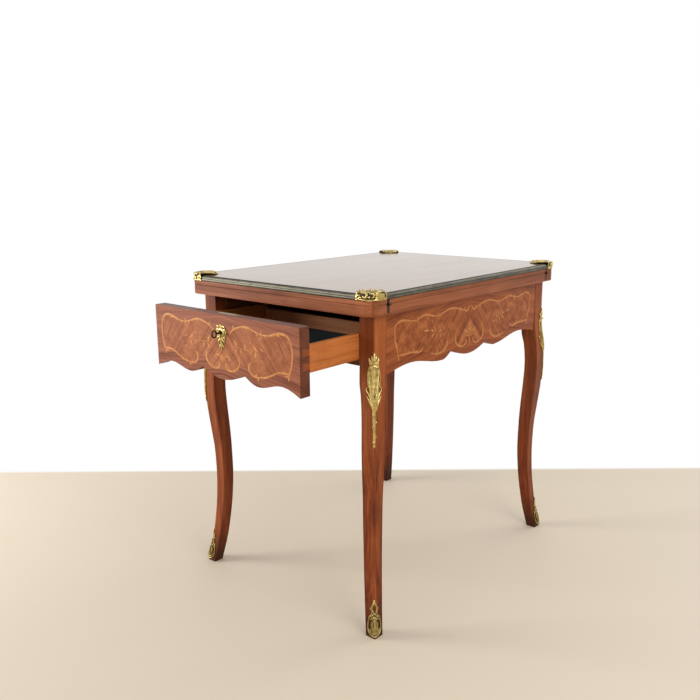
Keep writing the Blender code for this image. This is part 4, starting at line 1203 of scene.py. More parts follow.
@dataclass(frozen=True)
class LegCurve:
    """How a leg's outer edge and its side run from the floor up, read from its CAD solid."""

    signs: tuple[int, int]
    levels: np.ndarray
    out_x: np.ndarray
    out_y: np.ndarray
    side: np.ndarray

    CHAMFER_RANGE = (0.0008, 0.0022)

    @classmethod
    def read(cls, corner: str) -> "LegCurve":
        """Read the rings of a leg that include its chamfered outer edge.

        Args:
            corner: the leg.

        Returns:
            The curve.
        """
        signs = CORNERS[corner]
        mesh = frame["nodes"][f"leg_{corner}"].data
        spots = np.array([vertex.co for vertex in mesh.vertices]) * (*signs, 1)
        rows = []
        for level in np.unique(spots[:, 2].round(5)):
            around = spots[np.abs(spots[:, 2] - level) < 1e-5, :2]
            reach = around.max(axis=0)
            chamfer = (reach - around).sum(axis=1).min()
            if cls.CHAMFER_RANGE[0] < chamfer < cls.CHAMFER_RANGE[1]:
                rows.append((level, *reach, np.ptp(around[:, 0])))
        return cls(signs, *np.array(rows).T)

    def edge(self, height: np.ndarray) -> tuple[np.ndarray, np.ndarray]:
        """How far the outer edge stands out in x and y at heights."""
        return np.interp(height, self.levels, self.out_x), np.interp(height, self.levels, self.out_y)

    def share(self, points: np.ndarray) -> np.ndarray:
        """Distance of points from the outer edge round the section, as a share of its side."""
        out_x, out_y = self.edge(points[:, 2])
        inset = out_x - self.signs[0] * points[:, 0] + out_y - self.signs[1] * points[:, 1]
        return inset / np.interp(points[:, 2], self.levels, self.side)


@dataclass
class Carcase:
    """Legs, aprons and the rails inside the frame."""

    finishes: Finishes
    leg_ease: float = 0.0005
    leg_degrees: float = 30.0
    apron_ease: float = 0.0010
    apron_degrees: float = 40.0

    def build(self) -> None:
        """Make the legs and aprons, and dress the hidden rails."""
        leg_veneer, side_veneer = self.finishes.get("leg_veneer"), self.finishes.get("side_veneer")
        apron = (Body.FRAME, Slot.VENEER, self.apron_ease, self.apron_degrees)
        for corner in CORNERS:
            leg = refine(f"leg_{corner}", f"cabriole_leg_{corner}", leg_veneer, Body.FRAME, Slot.VENEER,
                         self.leg_ease, self.leg_degrees)
            self.mark_faces(leg, LegCurve.read(corner))
        for side in ("left", "right"):
            refine(f"apron_{side}", f"scalloped_apron_{side}", side_veneer, *apron)
            for rail in ("runner", "guide", "kicker"):
                dress(f"drawer_{rail}_{side}", self.finishes.get("plain_wood"))
        refine("apron_back", "scalloped_apron_back", self.finishes.get("end_veneer"), *apron)
        for rail in ("front_rail", "crossbar", "well_floor"):
            dress(rail, self.finishes.get("cross_wood"))

    @staticmethod
    def mark_faces(leg: bpy.types.Object, curve: LegCurve) -> None:
        """Store how far each point of a leg lies from its outer edge.

        Args:
            leg: the leg.
            curve: the run of its outer edge.
        """
        points = np.array([vertex.co for vertex in leg.data.vertices])
        layer = leg.data.attributes.new(LegWood.attribute, "FLOAT", "POINT")
        layer.data.foreach_set("value", curve.share(points).astype(np.float32))


@dataclass
class LegMounts:
    """Gilt drops on the knees and toe caps on the feet, bent round the legs' outer edges."""

    finishes: Finishes
    gap: float = 0.0005
    corner_run: float = 0.0020
    knee_voxel: float = 0.55
    toe_voxel: float = 0.5

    # Heights of ribs and plates over their half widths, then the depth and the weight of hollows
    KNEE_RELIEF = (0.85, 0.10, 1.9, 0.40)
    TOE_RELIEF = (0.85, 0.12)
    KNEE_RIBS = (
        Stroke(((0.8, 2.0), (0.6, 20.0), (1.0, 45.0), (1.6, 70.0), (1.0, 94.0)),
               (1.2, 2.3, 2.2, 2.6, 3.4), 0.6),
        Stroke(((-0.8, 88.0), (-3.4, 115.0), (-7.4, 142.0), (-10.6, 168.0)), (1.7, 2.5, 2.4, 1.3), 2.6),
        Stroke(((1.2, 88.0), (2.8, 115.0), (3.4, 140.0), (2.6, 166.0)), (1.5, 2.2, 2.0, 1.2), 2.4),
        Stroke(((4.0, 92.0), (8.6, 118.0), (11.8, 142.0), (12.0, 168.0)), (1.4, 2.0, 2.0, 1.2), 1.8),
        bead(0.4, 6.0, 2.2, 0.8), bead(0.8, 15.0, 2.6, 0.9), bead(-3.4, 27.0, 2.1, 0.5),
        bead(3.2, 33.0, 1.7, 0.4),
        bead(-3.6, 58.0, 2.4, 0.5), bead(4.0, 48.0, 1.8, 0.4), bead(4.4, 76.0, 2.0, 0.4),
        *(bead(-1.6 - 0.25 * step, 118.0 + 11.0 * step, 1.4, 0.4) for step in range(4)),
        *(bead(7.4 + 0.45 * step, 118.0 + 11.0 * step, 1.4, 0.4) for step in range(4)),
        bead(0.8, 176.0, 3.8, 2.2), leaf(0.0, 184.0, 90.0, 21.0, 3.4), bead(0.0, 188.0, 2.2, 1.8),
        *both(
            Stroke(((2.4, 82.0), (7.0, 93.0), (13.0, 103.0), (20.4, 112.0)), (1.2, 2.4, 2.6, 0.8), 0.8),
            Stroke(((3.6, 92.0), (9.0, 107.0), (14.6, 117.0), (20.8, 124.0)), (1.2, 2.3, 2.3, 0.8), 1.0),
            Stroke(((14.4, 117.0), (19.6, 121.0), (19.2, 128.0), (15.2, 129.0)), (1.1, 1.7, 1.6, 0.8), 0.7),
            Stroke(((15.0, 130.0), (16.4, 145.0), (15.2, 162.0), (11.4, 176.0)), (1.0, 1.5, 1.5, 1.1), 0.6),
            Stroke(((4.6, 171.0), (6.8, 176.0), (4.4, 181.4)), (1.3, 1.7, 1.3), 1.2),
            Stroke(((2.0, 181.0), (7.4, 182.6), (11.6, 187.0), (12.0, 192.0)), (2.0, 3.0, 2.6, 0.9), 0.9),
            Stroke(((1.6, 185.0), (4.4, 191.0), (6.0, 197.4)), (1.8, 2.8, 0.8), 0.9),
            bead(10.2, 171.0, 2.3, 1.0), bead(11.4, 179.0, 2.0, 0.7),
        ),
    )
    KNEE_PLATES = (
        Stroke(((0.0, 94.0), (0.0, 118.0), (0.0, 146.0), (0.0, 172.0), (0.0, 188.0), (0.0, 197.0)),
               (5.0, 13.6, 14.6, 12.4, 10.0, 4.0)),
        Stroke(((0.6, 16.0), (1.0, 50.0), (1.0, 96.0)), (2.6, 4.2, 6.6)),
    )
    TOE_RIBS = (
        Stroke(((-15.6, 39.0), (-18.0, 27.0), (-17.6, 14.0), (-11.0, 6.8), (0.0, 5.2), (11.0, 6.8),
                (17.6, 14.0), (18.0, 27.0), (15.6, 39.0)),
               (1.3, 1.8, 1.9, 2.0, 2.1, 2.0, 1.9, 1.8, 1.3), 0.7),
        Stroke(((-14.2, 19.0), (-9.5, 12.2), (0.0, 10.4), (9.5, 12.2), (14.2, 19.0)),
               (1.0, 1.5, 1.6, 1.5, 1.0), 0.6),
        Stroke(((0.0, 12.0), (0.0, 24.0), (0.0, 39.0)), (1.2, 1.9, 0.9), 2.2),
        bead(0.0, 45.5, 2.7, 1.2), bead(0.0, 54.0, 2.4, 1.0), leaf(0.0, 76.0, 90.0, 10.0, 2.2),
        bead(0.0, 82.0, 1.8, 0.8),
        *both(
            Stroke(((1.2, 12.0), (4.4, 20.0), (5.4, 29.0), (2.4, 38.0)), (1.2, 2.0, 2.0, 0.8), 1.0),
            Stroke(((7.2, 15.0), (9.0, 26.0), (7.4, 37.0)), (0.9, 1.3, 0.9), 0.8),
            Stroke(((15.8, 37.0), (14.0, 43.0), (9.8, 46.6), (6.6, 43.8), (8.4, 40.4)),
                   (1.3, 1.8, 1.9, 1.5, 0.9), 0.8),
            Stroke(((9.2, 46.4), (7.0, 52.0), (4.4, 57.6)), (1.7, 2.0, 1.5), 0.8),
            Stroke(((2.6, 56.0), (6.2, 60.6), (6.2, 65.6), (3.4, 72.0), (0.2, 78.0)),
                   (2.2, 2.9, 2.7, 2.3, 1.7), 0.6),
            Stroke(((7.2, 60.0), (10.0, 61.6), (11.0, 65.6)), (1.6, 1.6, 0.6), 0.5),
            bead(4.2, 41.6, 1.9, 0.9), bead(11.8, 39.2, 1.7, 0.6), bead(3.6, 49.4, 1.9, 0.9),
            bead(12.6, 14.6, 1.5, 0.6),
        ),
    )
    TOE_PLATES = (
        Stroke(((0.0, 9.0), (0.0, 22.0), (0.0, 39.0)), (6.0, 7.4, 5.0)),
        Stroke(((0.0, 39.0), (0.0, 47.0), (0.0, 58.0)), (12.0, 9.0, 4.4)),
        Stroke(((-15.0, 10.0), (0.0, 5.0), (15.0, 10.0)), (3.4, 3.4, 3.4)),
    )

    def build(self) -> None:
        """Cast each mount once and bend a copy round every leg."""
        knee = Sheet.cast("knee_casting", self.KNEE_RIBS, self.KNEE_PLATES, self.knee_voxel,
                          *self.KNEE_RELIEF)
        toe = Sheet.cast("toe_casting", self.TOE_RIBS, self.TOE_PLATES, self.toe_voxel, *self.TOE_RELIEF)
        for corner in CORNERS:
            for casting, node in ((knee, f"knee_mount_{corner}"), (toe, f"toe_cap_{corner}")):
                piece = twin(casting, f"gilt_{node}")
                Sheet.lay(piece, self.round_leg(corner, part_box(node)[0].z))
                settle(piece, self.finishes.get("gilding"), Body.FRAME, Slot.GILT, node)
        for casting in (knee, toe):
            bpy.data.objects.remove(casting)

    def round_leg(self, corner: str, start: float) -> Wrap:
        """The way from a flat sheet onto a leg's outer edge.

        Args:
            corner: the leg.
            start: height of the sheet's lower end.

        Returns:
            A function of flat points in millimetres.
        """
        sx, sy = CORNERS[corner]
        curve = LegCurve.read(corner)
        run = self.corner_run
        radius = 4 * run / math.pi

        def wrap(points: np.ndarray) -> np.ndarray:
            """Bend flat points over the edge, which runs along the sheet's middle line."""
            across, up, lift = points.T * MM
            height = start + up
            x, y = (reach + self.gap for reach in curve.edge(height))
            turn = math.pi / 4 * (1 + np.clip(across / run, -1, 1))
            past = np.maximum(np.abs(across) - run, 0.0)
            place_x = x - radius + (radius + lift) * np.cos(turn) - np.where(across > 0, past, 0.0)
            place_y = y - radius + (radius + lift) * np.sin(turn) - np.where(across < 0, past, 0.0)
            return np.stack([sx * place_x, sy * place_y, height], axis=1)

        return wrap


# Top


@dataclass
class FoldTop:
    """The two leaves with their moulding, corner mounts, hinges and pivot."""

    finishes: Finishes
    shell_inset: float = 0.0497
    shell_toe_half: float = 0.025
    shell_arm: float = 0.0402
    shell_half_width: float = 32.0
    shell_top_run: float = 34.0
    shell_bend: float = 9.0
    shell_taper: Point = (0.82, 1.0)
    taper_run: Point = (26.0, 46.0)
    skirt_stretch: float = 1.2
    corner_radius: float = 0.025
    shell_voxel: float = 0.5
    shell_lift: float = 0.0004
    skirt_relief: float = 2.2
    moulding_degrees: float = 40.0
    pivot_ease: float = 0.0003
    peg_ease: float = 0.0005

    # Heights of ribs and plates over their half widths
    SHELL_RELIEF = (0.80, 0.12)
    # Rise of the mount's ground above the leaf, by share of its run from the inner edge to the leaf's edge
    SHELL_GROUND_AT = (0.0, 0.12, 0.35, 0.80, 1.0)
    SHELL_GROUND = (0.0004, 0.0016, 0.0038, 0.0044, 0.0030)
    SHELL_RIBS = (
        bead(0.0, 15.0, 4.6, 1.0), ring(0.0, 15.0, 7.6, 1.3, 0.8),
        ring(26.4, 41.4, 3.0, 1.6, 0.5), bead(5.0, 40.6, 2.0, 0.4), bead(20.6, 42.0, 1.8, 0.4),
        Stroke(((22.0, 34.4), (14.6, 33.6), (9.6, 37.4), (12.2, 41.6), (16.6, 39.8)),
               (1.5, 2.0, 2.1, 1.9, 1.0), 0.4),
        Stroke(((4.4, 34.6), (-1.4, 35.2), (-3.0, 39.2), (0.8, 41.2)), (1.4, 1.9, 1.8, 1.0), 0.4),
        Stroke(((-5.4, 35.2), (-12.0, 38.0), (-24.0, 40.6)), (3.4, 5.0, 4.2), 0.0),
        Stroke(((-5.0, 41.6), (-13.0, 43.2), (-26.0, 43.6)), (2.2, 2.8, 2.4), 0.0),
        Stroke(((-31.0, 45.4), (-18.0, 46.2), (-6.0, 45.2), (6.0, 46.2), (18.0, 45.4), (31.0, 46.0)),
               (1.4, 1.7, 1.5, 1.8, 1.5, 1.4), 0.5),
        Stroke(((-10.0, 3.0), (0.0, 1.8), (10.0, 3.0)), (1.1, 1.6, 1.1), 0.3),
        *both(
            Stroke(((29.0, 32.0), (20.0, 29.6), (11.0, 31.0), (3.0, 32.6)), (1.2, 1.8, 1.7, 1.3), 1.0),
            Stroke(((9.0, 22.0), (14.8, 20.0), (16.4, 13.6), (12.4, 8.6), (6.6, 8.0)),
                   (1.1, 2.0, 2.2, 1.9, 1.1), 1.2),
            Stroke(((12.6, 14.6), (10.8, 17.6), (12.6, 20.4)), (1.0, 1.5, 0.8), 1.0),
            Stroke(((9.0, 3.4), (17.0, 4.6), (22.4, 10.4), (21.6, 18.4), (16.6, 22.0)),
                   (1.1, 1.8, 2.1, 2.0, 1.0), 0.9),
            Stroke(((20.4, 6.0), (26.4, 11.4), (29.6, 19.0), (28.8, 27.0)), (1.0, 2.0, 2.1, 1.2), 0.6),
            Stroke(((23.4, 20.0), (24.6, 25.0), (20.0, 27.6), (15.4, 25.2)), (1.1, 1.7, 1.6, 0.9), 0.8),
            Stroke(((28.6, 33.0), (31.0, 37.0), (31.2, 41.0), (28.8, 43.4)), (1.0, 1.4, 1.4, 0.9), 0.4),
            leaf(4.0, 24.0, 60.0, 8.0, 2.0), bead(20.0, 15.4, 1.8, 1.2), bead(13.6, 28.0, 1.8, 1.0),
            bead(26.0, 6.6, 1.5, 0.4),
        ),
    )
    SHELL_PLATES = tuple(
        Stroke(((fan * 20.0, 4.0), (fan * 24.0, 16.0), (fan * 27.0, 30.0), (fan * 28.0, 43.0)),
               (4.6, 6.4, 6.4, 4.2))
        for fan in (-1.0, -0.66, -0.33, 0.0, 0.33, 0.66, 1.0)
    )

    def build(self) -> None:
        """Make the leaves, the moulding and the mounts, and dress the metalwork."""
        leaf_finish = self.finishes.get("leaf_veneer")
        refine("lower_leaf", "turning_leaf", leaf_finish, Body.LOWER_TOP, Slot.VENEER)
        refine("upper_leaf", "folding_leaf", leaf_finish, Body.UPPER_TOP, Slot.VENEER)
        for side, metal in (("front", "moulding_ends"), ("back", "moulding_ends"),
                            ("left", "moulding_sides"), ("right", "moulding_sides")):
            refine(f"moulding_{side}", f"edge_moulding_{side}", self.finishes.get(metal), Body.UPPER_TOP,
                   Slot.PATINA, angle=self.moulding_degrees)
        for end in ("front", "back"):
            for part in ("lower", "upper", "pin"):
                dress(f"hinge_{part}_{end}", self.finishes.get("hinge_brass"))
        refine("top_pivot", "turned_pivot", self.finishes.get("bright_steel"), Body.LOWER_TOP, Slot.STEEL,
               self.pivot_ease)
        for part in ("pivot_washer", "pivot_nut"):
            dress(part, self.finishes.get("lock_brass"))
        refine("stop_peg", "turned_stop_peg", self.finishes.get("plain_wood"), Body.LOWER_TOP,
               Slot.PLAIN_WOOD, self.peg_ease)
        self.build_shells()

    def build_shells(self) -> None:
        """Cast the corner mount once and bend a copy over each corner."""
        shell = Sheet.cast("shell_casting", self.SHELL_RIBS, self.SHELL_PLATES, self.shell_voxel,
                           *self.SHELL_RELIEF)
        for corner in CORNERS:
            piece = twin(shell, f"gilt_shell_{corner}")
            Sheet.lay(piece, self.over_corner(corner))
            settle(piece, self.finishes.get("gilding"), Body.UPPER_TOP, Slot.GILT, f"shell_mount_{corner}")
        bpy.data.objects.remove(shell)

    def corner_edge(self, along: np.ndarray, half: Vector) -> tuple[np.ndarray, np.ndarray]:
        """Points of the leaf's edge round a corner, and their outward normals.

        Args:
            along: distances round the corner from its middle.
            half: half size of the leaf.

        Returns:
            The points and the normals, one row each.
        """
        radius = self.corner_radius
        bend = radius * math.pi / 4
        turn = math.pi / 4 + np.clip(along, -bend, bend) / radius
        normal = np.stack([np.cos(turn), np.sin(turn)], axis=1)
        straight = np.maximum(np.abs(along) - bend, 0.0)
        back = np.stack([np.where(along > 0, straight, 0.0), np.where(along < 0, straight, 0.0)], axis=1)
        return np.array((half.x - radius, half.y - radius)) + normal * radius - back, normal

    def over_corner(self, corner: str) -> Wrap:
        """The way from a flat sheet onto a corner of the top.

        Args:
            corner: the corner.

        Returns:
            A function of flat points in millimetres.
        """
        sx, sy = CORNERS[corner]
        low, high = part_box("lower_leaf")
        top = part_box("upper_leaf")[1].z
        middle, half = (low + high) / 2, (high - low) / 2
        spread = self.shell_toe_half / math.sqrt(2)

        def wrap(points: np.ndarray) -> np.ndarray:
            """Lay flat points on the leaf and bend them down over its edge."""
            across, run, lift = points.T
            fan = across / self.shell_half_width
            taper = np.interp(run, self.taper_run, self.shell_taper)
            edge, normal = self.corner_edge(fan * self.shell_arm * taper, half)
            toe = np.stack([half.x - self.shell_inset - spread * fan,
                            half.y - self.shell_inset + spread * fan], axis=1)
            inward = np.clip(run / self.shell_top_run, 0, 1)
            lean = np.clip((run - self.shell_top_run + self.shell_bend) / (2 * self.shell_bend), 0, 1)
            tilt = lean * lean * (3 - 2 * lean) * math.pi / 2
            rise = np.minimum(lift, self.skirt_relief * (2 - np.sin(tilt))) * MM
            ground = np.interp(inward, self.SHELL_GROUND_AT, self.SHELL_GROUND)
            drop = np.maximum(run - self.shell_top_run, 0.0) * self.skirt_stretch * MM
            proud = (self.shell_lift + rise) * np.sin(tilt)
            spot = toe + (edge - toe) * inward[:, None] + normal * proud[:, None]
            height = top + ground + rise * np.cos(tilt) - drop
            return np.stack([middle.x + sx * spot[:, 0], middle.y + sy * spot[:, 1], height], axis=1)

        return wrap


# Drawer


@dataclass
class Drawer:
    """The drawer with its lock, escutcheon and key."""

    finishes: Finishes
    front_ease: float = 0.0009
    board_ease: float = 0.0006
    edge_degrees: float = 40.0
    escutcheon_voxel: float = 0.34
    escutcheon_relief: float = 0.85

    PLATE_RIBS = (
        leaf(0.0, 48.0, 90.0, 12.0, 3.0), bead(0.0, 50.4, 2.4, 0.6),
        Stroke(((0.0, 28.0), (0.0, 15.0), (0.0, 2.0)), (3.0, 3.2, 0.8), 0.5),
        bead(0.0, 3.8, 1.8, 0.4), bead(0.0, 22.0, 2.6, 1.0),
        *both(
            Stroke(((0.0, 47.4), (4.8, 46.0), (6.6, 40.0), (5.4, 33.0), (4.0, 28.6), (0.0, 27.0)),
                   (2.6, 2.9, 3.1, 2.9, 2.5, 2.0), 0.5),
            Stroke(((6.4, 47.6), (11.4, 47.0), (14.4, 42.0), (13.2, 35.4), (9.0, 33.4)),
                   (1.4, 2.0, 2.1, 2.0, 1.2), 0.3),
            Stroke(((10.6, 48.4), (12.4, 52.0), (9.0, 54.0), (5.8, 51.0)), (1.3, 1.7, 1.5, 0.9), 0.3),
            Stroke(((1.8, 49.0), (4.6, 53.0), (5.2, 58.0)), (1.2, 1.6, 0.5), 0.3),
            Stroke(((2.4, 27.0), (7.6, 23.0), (9.6, 16.0)), (1.6, 2.1, 0.6), 0.4),
            Stroke(((7.0, 31.6), (11.2, 29.0), (12.0, 23.6)), (1.4, 1.9, 0.6), 0.3),
            Stroke(((1.4, 17.0), (5.2, 12.0), (5.6, 6.0)), (1.3, 1.8, 0.6), 0.3),
            bead(10.6, 41.0, 1.9, 0.5),
        ),
    )

    def build(self) -> None:
        """Make the drawer's boards and metalwork."""
        refine("drawer_front", "scalloped_drawer_front", self.finishes.get("end_veneer"), Body.DRAWER,
               Slot.VENEER, self.front_ease, self.edge_degrees)
        for side in ("left", "right"):
            refine(f"drawer_side_{side}", f"dovetailed_side_{side}", self.finishes.get("drawer_side"),
                   Body.DRAWER, Slot.DRAWER_WOOD, self.board_ease, self.edge_degrees)
        for board in ("drawer_back", "drawer_bottom"):
            dress(board, self.finishes.get("drawer_cross"))
        dress("lock_case", self.finishes.get("lock_brass"))
        dress("lock_bolt", self.finishes.get("bright_steel"))
        refine("key", "iron_key", self.finishes.get("black_iron"), Body.KEY, Slot.IRON,
               angle=self.edge_degrees)
        self.build_escutcheon()

    def build_escutcheon(self) -> None:
        """Cast the keyhole plate and set it on the drawer front."""
        low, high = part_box("escutcheon")
        piece = Sheet.cast("gilt_escutcheon", self.PLATE_RIBS, (), self.escutcheon_voxel,
                           self.escutcheon_relief)
        middle = (low.x + high.x) / 2

        def wrap(points: np.ndarray) -> np.ndarray:
            """Stand flat points on the drawer front."""
            across, up, lift = points.T * MM
            return np.stack([middle + across, high.y - lift, low.z + up], axis=1)

        Sheet.lay(piece, wrap)
        settle(piece, self.finishes.get("gilding"), Body.DRAWER, Slot.GILT, "escutcheon")


# Cloths


@dataclass
class Cloths:
    """The felt on the drawer's floor and the baize of the two leaves."""

    finishes: Finishes
    cell: float = 0.012
    wave: float = 0.00022
    edge_fall: float = 0.0004
    edge_run: float = 0.004
    thickness_share: float = 0.62

    # Level and swing of the waves as shares, and the waves' turns to a metre in radians
    WAVE_LEVEL, WAVE_SWING = 0.55, 0.45
    LONG_X, LONG_Y, SHORT_X, SHORT_Y = 31.0, 23.0, 19.0, 17.0

    def build(self) -> None:
        """Lay the three cloths."""
        self.lay("drawer_lining", "drawer_felt", "blue_felt", Body.DRAWER, Slot.FELT, "drawer_bottom", 1)
        self.lay("lower_baize", "turning_leaf_baize", "green_baize", Body.LOWER_TOP, Slot.BAIZE,
                 "turning_leaf", 1)
        self.lay("upper_baize", "folding_leaf_baize", "green_baize", Body.UPPER_TOP, Slot.BAIZE,
                 "folding_leaf", -1)

    def lay(self, node: str, name: str, finish: str, body: Body, slot: Slot, below: str, face: int) -> None:
        """Lay one cloth where its CAD solid is.

        Args:
            node: the CAD node of the cloth.
            name: the sheet's name.
            finish: its material.
            body: the body that it rides on.
            slot: the record's material slot.
            below: what it lies on; not used.
            face: 1 where its seen face is up, -1 where it is down.
        """
        low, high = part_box(node)
        size, middle = high - low, (low + high) / 2
        bpy.ops.object.select_all(action="DESELECT")
        bpy.ops.mesh.primitive_grid_add(x_subdivisions=int(size.x / self.cell),
                                        y_subdivisions=int(size.y / self.cell), size=1.0, location=(0, 0, 0))
        piece = bpy.context.object
        piece.name = name
        piece.scale = (size.x, size.y, 1.0)
        bpy.ops.object.transform_apply(location=False, rotation=False, scale=True)
        seen = high.z if face > 0 else low.z
        for vertex in piece.data.vertices:
            x, y = vertex.co.x, vertex.co.y
            ripple = math.sin(x * self.LONG_X + 2.0 * math.sin(y * self.SHORT_Y))
            ripple = ripple * math.sin(y * self.LONG_Y + math.sin(x * self.SHORT_X))
            inset = min(size.x / 2 - abs(x), size.y / 2 - abs(y))
            fall = self.wave * (self.WAVE_LEVEL + self.WAVE_SWING * ripple)
            fall = fall + self.edge_fall * math.exp(-inset / self.edge_run)
            vertex.co = (middle.x + x, middle.y + y, seen - face * fall)
        if face < 0:
            Bench.edit(piece)
            bpy.ops.mesh.flip_normals()
            Bench.close()
        Bench.apply(piece, "SOLIDIFY", thickness=size.z * self.thickness_share, offset=-1.0)
        Bench.soften(piece)
        settle(piece, self.finishes.get(finish), body, slot, node)


# Marquetry


class Face(Enum):
    """Faces that carry marquetry: CAD node, run of the panel, outward axis and its sign."""

    DRAWER = ("drawer_front", 0, 1, -1)
    RIGHT = ("apron_right", 1, 0, 1)
    LEFT = ("apron_left", 1, 0, -1)
    BACK = ("apron_back", 0, 1, 1)


